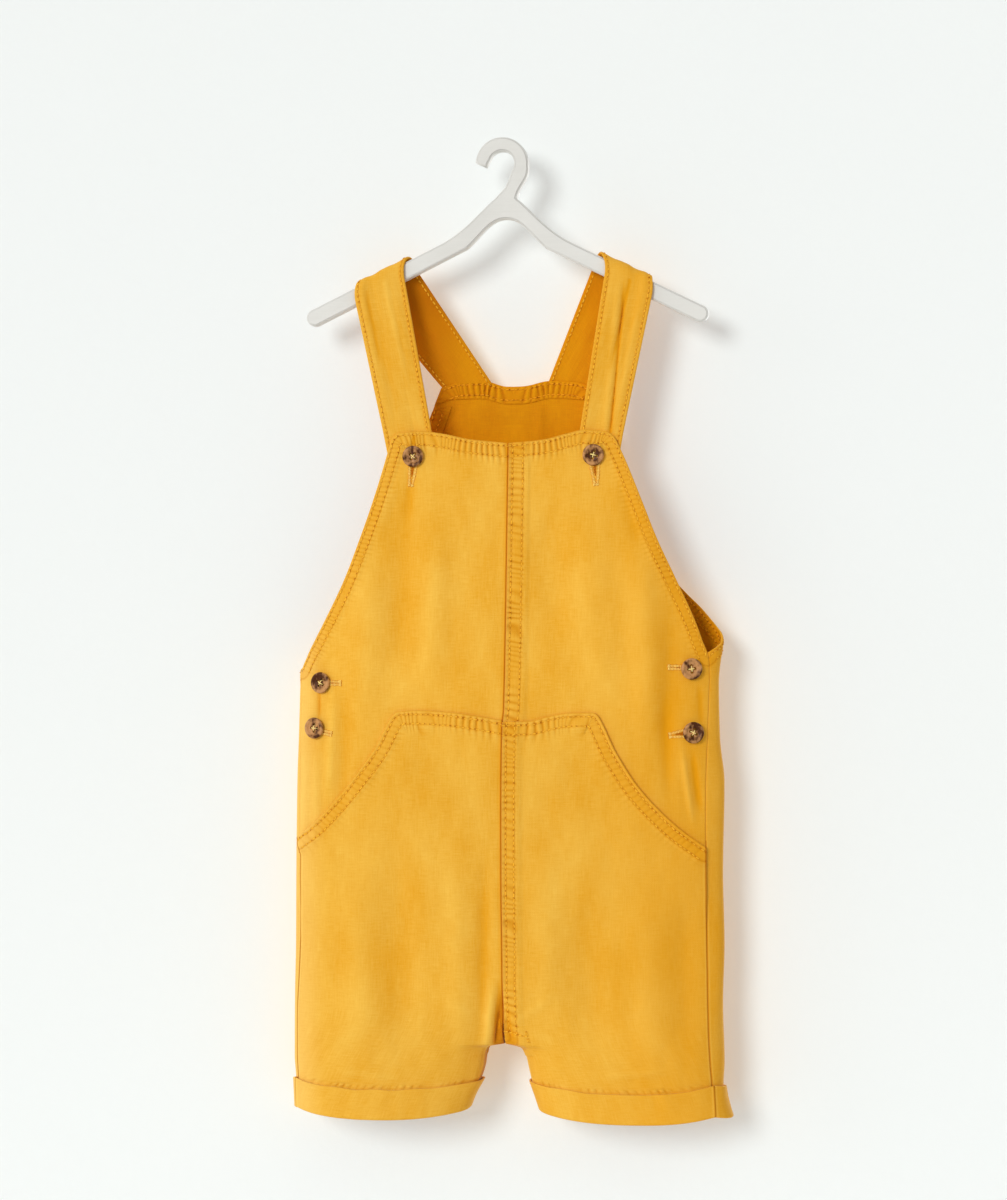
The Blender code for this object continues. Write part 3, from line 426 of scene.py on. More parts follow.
EDGE_ROLL, EDGE_ROLL_WIDTH = 0.45, 0.8  # how much a folded edge rolls away, and over what width
CENTRE_SHADE_AND_HIGHLIGHT, CENTRE_PAINT_FROM_SEAM = 0.55, 0.9  # painted shade on the left half beside the centre seam, painted highlight on the right half's fold, and where


def row_distance(row, along, turn):
    """A row's distance from its line, which goes over from one value to the other at the turn."""
    return row[0] + (row[1] - row[0]) * ease((along - turn + TURN_LENGTH / 2) / TURN_LENGTH)


class Panel:
    """A cut piece of cloth on the form: the places it covers, its layer, and the hems and seams in it."""

    def __init__(self, side, face, places, layer=0.0, thick=CLOTH, out=1, joined=(), **hems):
        self.side, self.face, self.places, self.joined = side, face, places, joined
        self.layer, self.thick, self.out, self.hems = layer, thick, out, hems

    def sewn(self, places):
        """Its lift off its layer, and what its finish has to know: how far past each row of stitches a place
        is, the phase of the ripples, and how strongly they pull."""
        lift = np.zeros(places.shape[:-1])
        fields = {name: np.full(places.shape[:-1] + (3,), FAR) for name in ("hem_rows", "seam_rows")}
        fields.update(ripple=np.zeros_like(lift), pull=np.zeros_like(lift))
        away, level = places[..., 0], places[..., 1]
        to_side = panel_width(self.side, self.face, level) - away - SEAM_SHADE_WIDENING * self.layer_at(level)
        to_side = np.where(level < SIDE_SEAM_TOP, to_side, FAR)
        # The distance to edges sewn to another piece, for the painted shadow line along them.
        for edge, distance in (("centre", away), ("side", to_side)):
            if edge in self.joined:
                fields["seam_rows"][..., 2] = np.minimum(fields["seam_rows"][..., 2], distance)
        for seed, (name, hem) in enumerate(self.hems.items()):
            if hem is None:  # the other half carries this seam's stitches
                continue
            past, along = nearest(hem.line, places)
            last = 0.0
            for k, row in enumerate(hem.rows):
                beyond = past - row_distance(row, along, hem.turn)
                lift -= STITCH_DENT * np.exp(-((beyond / STITCH_DENT_WIDTH) ** 2))
                fields[f"{name}_rows"][..., k] = beyond
                last = past - beyond
            if name == "hem":
                fields["hem_rows"][..., 2] = past
            lift += hem.rise * (1 - ease((past - last - hem.margin) / HEM_STEP))
            lift += hem.ridge * np.exp(-(((past - RIDGE_FROM_EDGE) / RIDGE_WIDTH) ** 2))
            phase = along / hem.pitch + RIPPLE_LEAN * past + 1.2 * wander(along, past * 0.4, 12, 31 + seed)
            reach = ease(past / 1.6) * (1 - ease((past - last) / hem.tail))
            rope = row_distance(hem.rope, along, hem.turn)
            pull = rope * reach * (0.7 + 0.6 * wander(along, past, 11, 41 + seed))
            pull = pull * (0.2 + 0.8 * ease((along - hem.block) / 2))
            lift -= RIPPLE_HEIGHT * pull * np.cos(2 * np.pi * phase)
            stronger = pull > fields["pull"]
            fields["ripple"] = np.where(stronger, phase, fields["ripple"])
            fields["pull"] = np.maximum(pull, fields["pull"])
        return lift, fields

    def layer_at(self, level):
        return self.layer(level) if callable(self.layer) else self.layer

    def faces(self):
        """Its shown and hidden faces as grids of points, its places, and the fields of its finish."""
        lift, fields = self.sewn(self.places)
        fields["crease"] = creases(self.side, self.face, self.places)
        away, level = self.places[..., 0], self.places[..., 1]
        # Painted shade on the left half along the centre seam, painted highlight on the right half's folded
        # edge.
        if "centre" in self.joined:
            fields["crease"] += SIDES[self.side] * CENTRE_SHADE_AND_HIGHLIGHT * np.exp(-((away - CENTRE_PAINT_FROM_SEAM) ** 2))
        rim = np.minimum.reduce([away[:, -1:] - away, level[:1] - level, level - level[-1:]])
        rounded, tucked = (
            EDGE_ROLL * np.clip(1 - edge / EDGE_ROLL_WIDTH, 0, 1) ** 2 for edge in (rim, away - away[:, :1])
        )
        outward = np.maximum(rounded, tucked) if self.out > 0 else rounded
        layer = self.layer_at(level)
        shown = on_form(self.side, self.face, self.places, layer + self.out * (lift - outward))
        hidden = on_form(self.side, self.face, self.places, layer - self.out * (self.thick - rounded))
        hidden[:, 0, 0] -= SIDES[self.side] * SEAM_GAP / 2
        return shown, hidden, self.places, fields

    def stitch_row(self, hem, row, start=0.0, end=1e9):
        """Points along one row of stitches, on the cloth, and the directions that point off it."""
        along = np.arange(max(start, 1.0), min(end, walked(hem.line)[-1] - 1.0), ROW_STEP)
        spot, ahead, behind = (points_at(hem.line, along + shift) for shift in (0.0, 0.6, -0.6))
        run = ahead - behind
        inward = np.stack([run[:, 1], -run[:, 0]], axis=-1) / np.hypot(run[:, 0], run[:, 1])[:, None]
        inset = row_distance(hem.rows[row], along, hem.turn)
        spot = spot + inward * inset[:, None]
        kept = nearest(hem.line, spot)[0] > inset - 0.1  # none where the line turns a corner
        return self.on_cloth(spot[kept])

    def on_cloth(self, spot, lift=0.1):
        """Points on its shown face at some places, and the directions that point off it."""
        height = self.layer_at(spot[:, 1]) + self.out * (self.sewn(spot)[0] + lift)
        low = on_form(self.side, self.face, spot, height)
        high = on_form(self.side, self.face, spot, height + self.out)
        return low, high - low


EDGE_STEPS = np.array([0.0, 0.3, 0.8, 1.6])


def columns(count, corner=None):
    """A panel's columns, close together at its edges: each a share of its width, and a distance added."""
    inner = np.linspace(0, 1, count)
    if corner is not None:
        inner[np.abs(inner - corner).argmin()] = corner
    step = EDGE_STEPS[-1]
    share = np.concatenate([np.zeros(3), inner, np.ones(3)])
    added = np.concatenate([EDGE_STEPS[:-1], step - 2 * step * inner, -EDGE_STEPS[-2::-1]])
    return share, added


def inseam_gap(level):
    """Half the gap at the inseam, where the front and the back meet edge to edge."""
    return SEAM_GAP / 2 * (1 - ease((level - CROTCH) / CROTCH_RISE))


def hem_climb(in_panel, level=HEM):
    """How much the hem's climb lifts the cloth, at shares of a panel's width."""
    return HEM_RISE * np.abs(2 * in_panel - 1) ** 2.5 * ease((CLIMB_TOP - level) / CLIMB_DROP)


def across_panel(side, face, level, cut):
    """Where a panel's columns lie at their levels, and each one's share of the panel's width."""
    share, added = cut
    width = panel_width(side, face, level)
    away = share * width + added
    in_panel = away / width
    return away + inseam_gap(level) * (1 - in_panel), in_panel


def shares_at(side, face, level, cut):
    """Each column's share of the panel's width at one level."""
    return across_panel(side, face, np.array([[level]]), cut)[1]


def laid_out(side, face, level, cut):
    """The places of a panel's columns at their levels."""
    return np.stack([across_panel(side, face, level, cut)[0], level], axis=-1)


def levels_down(stops):
    """Levels from each stop down to the next one, in even steps of about the length given there."""
    found = [np.array([stops[0][0]])]
    for (top, _), (bottom, step) in zip(stops, stops[1:]):
        found.append(np.linspace(top, bottom, max(1, round((top - bottom) / step)) + 1)[1:])
    nominal = np.concatenate(found)
    if len(nominal) % 2 == 0:  # a shell needs an odd number of rows
        nominal = np.append(nominal[:-1], [nominal[-2:].mean(), nominal[-1]])
    return nominal[:, None]


def set_out(name, data):
    """A new object of the scene."""
    made = bpy.data.objects.new(name, data)
    bpy.context.scene.collection.objects.link(made)
    return made


def cloth_mesh(name, points, faces, flat, fields, finishes, used):
    """A piece of cloth, with the places of its points on the flat cloth as its UV map. Used says which of its
    finishes each face has."""
    mesh = bpy.data.meshes.new(name)
    mesh.from_pydata(points * MM, [], faces)
    for field, values in fields.items():
        kind, slot = ("FLOAT_VECTOR", "vector") if values.shape[-1] == 3 else ("FLOAT", "value")
        mesh.attributes.new(field, kind, "POINT").data.foreach_set(slot, values.ravel().astype(np.float32))
    corner = np.empty(len(mesh.loops), int)
    mesh.loops.foreach_get("vertex_index", corner)
    mesh.uv_layers.new(name="cloth").data.foreach_set("uv", (flat[corner] / 100).ravel())
    mesh.shade_smooth()
    mesh.set_sharp_from_angle(angle=math.radians(55))
    for finish in finishes:
        mesh.materials.append(finish)
    mesh.polygons.foreach_set("material_index", used)
    return set_out(name, mesh)


def grid_quads(grid):
    """The quads between the rows and columns of a grid of points."""
    return np.stack([grid[:-1, :-1], grid[:-1, 1:], grid[1:, 1:], grid[1:, :-1]], axis=-1).reshape(-1, 4)


def grid_rim(grid):
    """The points once round a grid."""
    return np.concatenate([grid[0, :-1], grid[:-1, -1], grid[-1, :0:-1], grid[:0:-1, 0]])


def shell(name, shown, hidden, places, fields, finishes, through=False):
    """A closed wall of cloth: its shown face on the whole grid, its hidden face on every other point of it.
    The hidden face is plain unless the stitches go through to it."""
    hidden = hidden[::2, ::2]
    grid = np.arange(shown[..., 0].size).reshape(shown.shape[:2])
    under = np.arange(hidden[..., 0].size).reshape(hidden.shape[:2]) + grid.size
    a, b, d = grid_rim(grid)[::2], grid_rim(grid)[1::2], grid_rim(under)
    c, e = np.roll(a, -1), np.roll(d, -1)
    faces = [grid_quads(grid), grid_quads(under)[:, ::-1]]
    faces += [np.stack(corners, axis=-1) for corners in ((b, a, d), (b, d, e), (c, b, e))]
    r, k = grid.shape[0] // 4 * 2, grid.shape[1] // 4 * 2
    across = np.cross(shown[r, k + 1] - shown[r, k], shown[r + 1, k] - shown[r, k])
    turned = -1 if across @ (shown[r, k] - hidden[r // 2, k // 2]) < 0 else 1
    listed = [face[::turned] for block in faces for face in block.tolist()]
    points = np.concatenate([shown.reshape(-1, 3), hidden.reshape(-1, 3)])
    flat = np.concatenate([places.reshape(-1, 2), places[::2, ::2].reshape(-1, 2)])
    both = {}
    for field, values in fields.items():
        under_values = values[::2, ::2].reshape(hidden[..., 0].size, -1)
        if not through:
            under_values = np.full_like(under_values, FAR if field.endswith("rows") else 0.0)
        both[field] = np.concatenate([values.reshape(grid.size, -1), under_values])
    used = np.zeros(len(listed), int)
    used[len(faces[0]) : len(faces[0]) + len(faces[1])] = 1
    return cloth_mesh(name, points, listed, flat, both, finishes, used)


class Wire:
    """One output of a node, on which Python's operators add Math nodes."""

    def __init__(self, wiring, socket):
        self.wiring, self.socket = wiring, socket

    def maths(self, operation, *terms):
        return self.wiring.node("ShaderNodeMath", {"operation": operation}, dict(enumerate(terms)))

    def __add__(self, other):
        return self.maths("ADD", self, other)

    def __sub__(self, other):
        return self.maths("SUBTRACT", self, other)

    def __rsub__(self, other):
        return self.maths("SUBTRACT", other, self)

    def __mul__(self, other):
        return self.maths("MULTIPLY", self, other)

    def __abs__(self):
        return self.maths("ABSOLUTE", self)

    __radd__, __rmul__ = __add__, __mul__

    def out(self, name):
        """Another output of the same node."""
        return Wire(self.wiring, self.socket.node.outputs[name])


class Wiring:
    """The nodes of a material or of a Geometry Nodes tree, while they are put in."""

    def __init__(self, tree):
        self.tree = tree

    def node(self, kind, settings=None, sockets=None):
        made = self.tree.nodes.new(kind)
        for name, value in (settings or {}).items():
            setattr(made, name, value)
        for name, value in (sockets or {}).items():
            if isinstance(value, Wire):
                self.tree.links.new(value.socket, made.inputs[name])
            else:
                made.inputs[name].default_value = value
        return Wire(self, made.outputs[0]) if made.outputs else None

    def clamp(self, value):
        """A value held between 0 and 1."""
        return self.node("ShaderNodeClamp", {}, {"Value": value})

    def field(self, name, out="Fac"):
        """A field of the mesh that is named so."""
        return self.node("ShaderNodeAttribute", {"attribute_name": name}).out(out)

    def spot(self):
        """The place on the object, in metres."""
        return self.node("ShaderNodeTexCoord").out("Object")

    def bump(self, height):
        """The normal of the surface raised by some height in mm."""
        return self.node("ShaderNodeBump", {}, {"Height": height, "Distance": MM})

    def blend(self, share, low, high):
        """A colour between two others."""
        mixed = self.node("ShaderNodeMix", {"data_type": "RGBA"}, {0: share, 6: low, 7: high})
        return mixed.out(2)

    def noise(self, place, size, detail=2.0):
        """An even, patchy field about 0, with patches of that size in the units of the place."""
        spread = self.node("ShaderNodeVectorMath", {"operation": "DIVIDE"}, {0: place, 1: size})
        return self.node("ShaderNodeTexNoise", {}, {"Vector": spread, "Scale": 1.0, "Detail": detail}) - 0.5

    def between(self, value, low, high):
        """0 below one value and 1 past the other, with a soft step."""
        return self.node(
            "ShaderNodeMapRange",
            {"interpolation_type": "SMOOTHSTEP"},
            {"Value": value, "From Min": low, "From Max": high},
        )


def new_finish(name):
    """A material without nodes, and its wiring."""
    material = bpy.data.materials.new(name)
    material.use_nodes = True
    material.node_tree.nodes.clear()
    return material, Wiring(material.node_tree)


def surface(w, **sockets):
    """Ends a material in a Principled shader with those sockets."""
    named = {name.replace("_", " "): value for name, value in sockets.items()}
    shader = w.node("ShaderNodeBsdfPrincipled", {}, named)
    w.node("ShaderNodeOutputMaterial", {}, {"Surface": shader})


SHADE = (0.50, 0.15, 0.001, 1)
BROWNER_LOW_AND_HIGH = (0.42, 0.22, 0.02, 1)
ToLeft = namedtuple("ToLeft", "start end share colour")  # how the colour changes from one x to another
# Painted highlight down the left side, which faces the light.
LEFT_SIDE_HIGHLIGHT = ToLeft(-0.112, -0.136, 0.33, (0.98, 0.68, 0.22, 1))
# Painted shadow of the left strap on the inside.
LEFT_STRAP_SHADOW = ToLeft(-0.016, -0.046, 0.5, SHADE)


def twill_finish(name, deep, light, doubled_and_shade, sheen, to_left):
    """Garment-dyed cotton twill: slubs in both yarns, deeper where it is doubled, a pale band along folded
    edges and seams that is partly wear and partly painted highlight, painted highlight on ripple crests and
    fold ridges, and painted shade in creases, ripple valleys, along the stitches, where two pieces meet and
    towards its right side."""
    material, w = new_finish(name)
    flat = w.node("ShaderNodeUVMap", {"uv_map": "cloth"})
    place = w.node("ShaderNodeVectorMath", {"operation": "MULTIPLY"}, {0: flat, 1: (100, 100, 0)})
    axes = w.node("ShaderNodeSeparateXYZ", {}, {0: place})
    weft = w.noise(place, (8.0, 0.65, 1.0), 1.0)
    warp = w.noise(place, (0.7, 12.0, 1.0), 1.0)
    grain = w.noise(place, (0.9, 0.9, 1.0), 1.0)
    mottle = w.noise(place, (22.0, 55.0, 1.0), 3.0)
    diagonal = axes.out("X") * 5.2 + axes.out("Y") * 4.4
    ribs = diagonal.maths("SINE", diagonal)
    ripple, pull, crease = (w.field(name) for name in ("ripple", "pull", "crease"))
    crest = abs(ripple.maths("SINE", ripple * math.pi))
    groove, made_paler, doubled = 0.0, 0.0, 0.0
    for rows in ("hem_rows", "seam_rows"):
        each = w.node("ShaderNodeSeparateXYZ", {}, {0: w.field(rows, "Vector")})
        # Painted shade in the grooves that the rows of stitches draw in.
        groove = w.between(abs(each.out("X")), 1.1, 0.0) + w.between(abs(each.out("Y")), 1.1, 0.0) + groove
        # A pale band 1.3 mm in from folded edges and seams: partly wear, partly painted highlight on the
        # raised fold ridge.
        made_paler = w.between(abs(each.out("Z") - 1.3), 0.9, 0.0) + made_paler
        doubled = w.between(each.out("Y"), 1.8, 0.4) + doubled
    # Painted shadow line along edges sewn to another piece.
    edge = w.between(each.out("Z"), 0.9, 0.2)
    spot = w.node("ShaderNodeSeparateXYZ", {}, {0: w.spot()})
    tone = 0.5 + weft * 0.65 + warp * 0.6 + grain * 0.35 + mottle * 1.2 + made_paler * 0.5
    # Painted highlight on ripple crests and fold ridges, painted shade in ripple valleys and creases.
    tone = tone + pull * (crest - 0.5) * 1.2 + crease * 0.8
    colour = w.blend(w.clamp(tone), deep, light)
    # A little browner below -0.34 m and above -0.17 m, on the legs and up the straps.
    low_and_high = w.between(spot.out("Z"), -0.34, -0.42) + w.between(spot.out("Z"), -0.20, -0.17) * 0.8
    colour = w.blend(low_and_high * 0.08, colour, BROWNER_LOW_AND_HIGH)
    # Deeper where the cloth is doubled, with painted shade towards the right side, away from the light, and
    # in creases.
    kept = doubled * 0.32 + w.between(spot.out("X"), 0.04, 0.125) * 0.42
    kept = kept + w.between(crease, -0.05, -0.5) * 0.45
    colour = w.blend(w.clamp(kept), colour, doubled_and_shade)
    # Painted highlight on the left side for the twill, painted strap shadow for the inside.
    changed = w.between(spot.out("X"), to_left.start, to_left.end) * to_left.share
    colour = w.blend(changed, colour, to_left.colour)
    # Painted shade in stitch grooves, along seam edges, in ripple valleys and in deep creases.
    shaded = groove * 0.32 + edge * 0.7 + pull * (0.75 - crest) * 1.0 + w.between(crease, -0.45, -1.5) * 0.65
    colour = w.blend(w.clamp(shaded), colour, SHADE)
    height = weft * 0.06 + warp * 0.07 + grain * 0.07 + ribs * 0.012 + pull * crest * 0.5 - groove * 0.08
    bump = w.bump(height)
    surface(
        w,
        Base_Color=colour,
        Roughness=0.9 + weft * 0.1,
        Specular_IOR_Level=0.1,
        Sheen_Weight=sheen,
        Sheen_Roughness=0.3,
        Sheen_Tint=(1.0, 0.90, 0.66, 1.0),
        Normal=bump,
    )
    return material


TWILL = twill_finish(
    "mustard twill",
    deep=(0.78, 0.35, 0.012, 1),
    light=(0.91, 0.535, 0.080, 1),
    doubled_and_shade=(0.80, 0.33, 0.003, 1),
    sheen=0.25,
    to_left=LEFT_SIDE_HIGHLIGHT,
)
# The twill painted in shade, deeper and without sheen, for the faces seen in shade on the inside.
TWILL_IN_SHADE = twill_finish(
    "inside of the twill",
    deep=(0.66, 0.22, 0.001, 1),
    light=(0.84, 0.36, 0.003, 1),
    doubled_and_shade=(0.72, 0.26, 0.001, 1),
    sheen=0.0,
    to_left=LEFT_STRAP_SHADOW,
)
BOTH_FACES, INSIDE_ONLY = (TWILL, TWILL_IN_SHADE), (TWILL_IN_SHADE, TWILL_IN_SHADE)

# Lockstitch in mustard thread: each stitch is a short plump thread that dives into the cloth at both ends.
StitchRow = namedtuple("StitchRow", "along size pit")
STITCH_SECTION = (
    StitchRow(-0.50, 0.10, 1.0),
    StitchRow(-0.42, 0.95, 1.0),
    StitchRow(-0.27, 0.85, 0.0),
    StitchRow(0.27, 0.85, 0.0),
    StitchRow(0.42, 0.95, 1.0),
    StitchRow(0.50, 0.10, 1.0),
)
STITCH_SIDES = 5
STITCH_DIVE = 0.10  # how deep its ends are in the cloth


def stitch_shape(name, length, width, height):
    """One stitch along X, as an object that isn't in the scene itself."""
    points, faces, pits = [], [], []
    for row in STITCH_SECTION:
        for k in range(STITCH_SIDES):
            turn = 2 * math.pi * (k + 0.25) / STITCH_SIDES
            y = row.size * width / 2 * math.cos(turn)
            z = row.size * height * math.sin(turn) - STITCH_DIVE * row.pit
            points.append((row.along * length * MM, y * MM, z * MM))
            pits.append(row.pit)
    for i in range(len(STITCH_SECTION) - 1):
        for k in range(STITCH_SIDES):
            a, b = i * STITCH_SIDES + k, i * STITCH_SIDES + (k + 1) % STITCH_SIDES
            faces.append((a, b, b + STITCH_SIDES, a + STITCH_SIDES))
    faces.append(tuple(reversed(range(STITCH_SIDES))))
    faces.append(tuple(range(len(points) - STITCH_SIDES, len(points))))
    mesh = bpy.data.meshes.new(name)
    mesh.from_pydata(points, [], [face[::-1] for face in faces])
    mesh.attributes.new("pit", "FLOAT", "POINT").data.foreach_set("value", pits)
    mesh.shade_smooth()
    return bpy.data.objects.new(name, mesh)


ASKEW = (0.10, 0.10, 0.22)  # how far a stitch may be turned out of its row, in radians about X, Y and Z
SMALLEST, LARGEST = 0.75, 1.1  # the smallest and the largest stitch, for one that is 1


def stitching_nodes():
    """Sets stitches end to end along rows drawn on the cloth, each a little out of true."""
    tree = bpy.data.node_groups.new("stitching", "GeometryNodeTree")
    w = Wiring(tree)
    given = {"Rows": "Geometry", "Pitch": "Float", "Stitch": "Object", "Seed": "Int", "Finish": "Material"}
    for name, kind in given.items():
        tree.interface.new_socket(name, in_out="INPUT", socket_type=f"NodeSocket{kind}")
    tree.interface.new_socket("Stitches", in_out="OUTPUT", socket_type="NodeSocketGeometry")
    taken = w.node("NodeGroupInput")
    rows = w.node("GeometryNodeMeshToCurve", {}, {"Mesh": taken.out("Rows")})
    pitch, seed = taken.out("Pitch"), taken.out("Seed")
    spaced = w.node("GeometryNodeResampleCurve", {"mode": "LENGTH"}, {"Curve": rows, "Length": pitch})
    off = w.node("GeometryNodeInputNamedAttribute", {"data_type": "FLOAT_VECTOR"}, {"Name": "off"})
    align, along = "FunctionNodeAlignRotationToVector", w.node("GeometryNodeInputTangent")
    turn = w.node(align, {"axis": "X"}, {"Vector": along})
    turn = w.node(align, {"axis": "Z", "pivot_axis": "X"}, {"Rotation": turn, "Vector": off})
    drawn = {0: [-angle for angle in ASKEW], 1: ASKEW, "Seed": seed}
    askew = w.node("FunctionNodeRandomValue", {"data_type": "FLOAT_VECTOR"}, drawn)
    size = w.node("FunctionNodeRandomValue", {}, {2: SMALLEST, 3: LARGEST, "Seed": seed}).out(1)
    askew = w.node("FunctionNodeEulerToRotation", {}, {"Euler": askew})
    local = {"rotation_space": "LOCAL"}
    turn = w.node("FunctionNodeRotateRotation", local, {"Rotation": turn, "Rotate By": askew})
    stitch = w.node("GeometryNodeObjectInfo", {}, {"Object": taken.out("Stitch")}).out("Geometry")
    laid = {"Points": spaced, "Instance": stitch, "Rotation": turn, "Scale": size}
    placed = w.node("GeometryNodeInstanceOnPoints", {}, laid)
    real = w.node("GeometryNodeRealizeInstances", {}, {"Geometry": placed})
    done = w.node("GeometryNodeSetMaterial", {}, {"Geometry": real, "Material": taken.out("Finish")})
    w.node("NodeGroupOutput", {}, {"Stitches": done})
    return tree


def thread_finish(name, thread, pit):
    """Cotton thread, a little uneven in colour, with painted shade at its ends where it dives into the cloth.
    """
    material, w = new_finish(name)
    made_paler = w.noise(w.spot(), (4 * MM, 4 * MM, 4 * MM))
    sunk = w.field("pit")
    paler = tuple(min(1.0, c * 1.25) for c in thread[:3]) + (1,)
    colour = w.blend(w.clamp(made_paler * 2.0 + 0.5), thread, paler)
    # The pit colour is painted shade where the thread dives into the cloth.
    surface(w, Base_Color=w.blend(sunk, colour, pit), Roughness=0.8, Specular_IOR_Level=0.15)
    return material


THREAD = thread_finish("mustard thread", (0.85, 0.44, 0.03, 1), (0.56, 0.17, 0.002, 1))
# The thread painted in shade, for stitches on the inside.
THREAD_IN_SHADE = thread_finish("thread on the inside", (0.78, 0.33, 0.01, 1), (0.45, 0.13, 0.001, 1))
STITCHING = stitching_nodes()
LOCKSTITCH = stitch_shape("lockstitch", 3.3, 0.95, 0.5)
PITCH = 3.4


def sew(name, rows, shape=LOCKSTITCH, pitch=PITCH, finish=THREAD):
    """One piece with all the stitches of some rows; a row is its points on the cloth and the ways off it."""
    points = np.concatenate([row[0] for row in rows]) * MM
    ends = np.cumsum([len(row[0]) for row in rows])
    edges = [(i, i + 1) for i in range(len(points) - 1) if i + 1 not in ends]
    mesh = bpy.data.meshes.new(name)
    mesh.from_pydata(points, edges, [])
    off = np.concatenate([row[1] for row in rows]).astype(np.float32)
    mesh.attributes.new("off", "FLOAT_VECTOR", "POINT").data.foreach_set("vector", off.ravel())
    piece = set_out(name, mesh)
    sewing = piece.modifiers.new("stitching", "NODES")
    sewing.node_group = STITCHING
    asked = {"Pitch": pitch * MM, "Stitch": shape, "Seed": len(points), "Finish": finish}
    for item in STITCHING.interface.items_tree:
        if item.name in asked:
            sewing[item.identifier] = asked[item.name]
    made = bpy.data.meshes.new_from_object(piece.evaluated_get(bpy.context.evaluated_depsgraph_get()))
    piece.modifiers.clear()
    piece.data = made
    made.name = name
    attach(piece, "root")
    return piece


NECKLINE, BELOW_NECK, NEAR_HEM = -153.0, -160.0, -625.0
NECK_FOLLOWED, NECK_FADE = -167.0, 50  # down to where the cloth follows the neckline, and where that ends


def back_places(side, nominal, cut):
    """Places of the back on some nominal levels and columns, which follow the neckline and the hem."""
    at_neck, at_hem = (shares_at(side, "back", level, cut) for level in (BELOW_NECK, NEAR_HEM))
    shift = smooth(BACK_TOP, side, at_neck) - NECKLINE
    near_top = np.clip(1 - (NECK_FOLLOWED - nominal) / NECK_FADE, 0, 1)
    return laid_out(side, "back", nominal + shift * near_top + hem_climb(at_hem, nominal), cut)


def upward(places):
    """A panel's centre seam as a line that runs up from the fork, with the panel on its right-hand side."""
    line = places[::-1, 0][::2]
    return line[line[:, 1] > CROTCH + 4]


def stitched(name, panel, seam_start):
    """A half of the front or the back, and the rows of stitches along its edges and its centre seam."""
    piece = shell(f"{name}_cloth", *panel.faces(), BOTH_FACES)
    rows = [panel.stitch_row(panel.hems["hem"], k) for k in (0, 1)]
    if panel.hems["seam"]:
        rows += [panel.stitch_row(panel.hems["seam"], k, start=seam_start) for k in (0, 1)]
    return piece, rows


BACK_STOPS = (
    (NECKLINE, 0),
    (-153.6, 0.3),
    (-156.0, 0.8),
    (-335.0, 1.6),
    (-350.0, 1.2),
    (-575.0, 1.7),
    (-583.0, 0.8),
    (-595.0, 0.45),
    (-603.0, 1.0),
    (-617.0, 1.7),
    (HEM + CLOTH + GAP, 4.0),
)
UNDERARM = {"left": -343.0, "right": -333.0}
BACK_HEM = Hem(None, (0.5, 0.2), 3.9, 7.0, ((2.0, 1.8), (9.0, 7.0)), margin=1.3, rise=0.35, block=7.0)
BACK_SEAM = Hem(None, (0.2, 0.2), 4.4, 3.0, ((3.0, 3.0), (9.0, 9.0)), margin=2.5, rise=0.5, ridge=0.3)
back_hems = {}
for side in SIDES:
    places = back_places(side, levels_down(BACK_STOPS), columns(83))
    neckline, armhole = places[0], places[1:, -1]
    line = np.concatenate([neckline[::2], armhole[armhole[:, 1] > UNDERARM[side]][::2]])
    back_hems[side] = hem = BACK_HEM._replace(line=line, turn=walked(neckline)[-1])
    seam = BACK_SEAM._replace(line=upward(places)) if side == "left" else None
    panel = Panel(side, "back", places, joined=("centre", "side"), hem=hem, seam=seam)
    piece, rows = stitched(f"back_{side}", panel, seam_start=4.0)
    stitches = sew(f"back_{side}_stitches", rows)
    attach(piece, "root")
    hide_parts(f"back_{side}")

# --------------------------------------------------------------------------------------------------
# The facings. A strip of the same twill lines the neckline, right across the back, and another lines each
# armhole. The hem's two rows of stitches hold them, and they are what shows inside the neck opening.
# --------------------------------------------------------------------------------------------------
FACING_CLOTH = 0.6
FACING_LAYER = -CLOTH - GAP / 3 - FACING_CLOTH
FACING_DEPTH = 12.0
FACING_COLUMNS = {"left": 45, "right": 44}
NECK_STOPS = ((NECKLINE, 0), (-153.4, 0.4), (-164.2, 0.8), (-164.6, 0.4))
ARMHOLE_STOPS = ((-169.0, 0), (-169.4, 0.4), (-320.1, 1.4), (-320.5, 0.4))


def opened(left, right):
    """The left half of a grid, turned round, and then its right half."""
    return np.concatenate([left[:, ::-1], right], axis=1)


halves, neck_rows = {}, []
strip = (np.ones(13), np.linspace(-FACING_DEPTH, 0, 13))
for side in SIDES:
    hem = back_hems[side]._replace(rise=0.1, rope=(0.9, 0.5), block=4.0)
    facings = []
    for stops, cut in ((NECK_STOPS, columns(FACING_COLUMNS[side])), (ARMHOLE_STOPS, strip)):
        places = back_places(side, levels_down(stops), cut)
        facings.append(Panel(side, "back", places, FACING_LAYER, FACING_CLOTH, out=-1, hem=hem))
    at_neck, at_armhole = facings
    halves[side] = at_neck.faces()
    neck_rows += [at_neck.stitch_row(hem, k, end=hem.turn - 1) for k in (0, 1)]
    piece = shell(f"armhole_facing_{side}_cloth", *at_armhole.faces(), INSIDE_ONLY)
    armhole_rows = [at_armhole.stitch_row(hem, k, start=hem.turn + 17.0) for k in (0, 1)]
    stitches = sew(f"armhole_facing_{side}_stitches", armhole_rows, finish=THREAD_IN_SHADE)
    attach(piece, "root")
    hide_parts(f"back_armhole_facing_{side}")
shown, hidden, places = (opened(halves["left"][k], halves["right"][k]) for k in range(3))
fields = {name: opened(values, halves["right"][3][name]) for name, values in halves["left"][3].items()}
piece = shell("neck_facing_cloth", shown, hidden, places, fields, INSIDE_ONLY)
stitches = sew("neck_facing_stitches", neck_rows, finish=THREAD_IN_SHADE)
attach(piece, "root")
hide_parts("back_neck_facing")

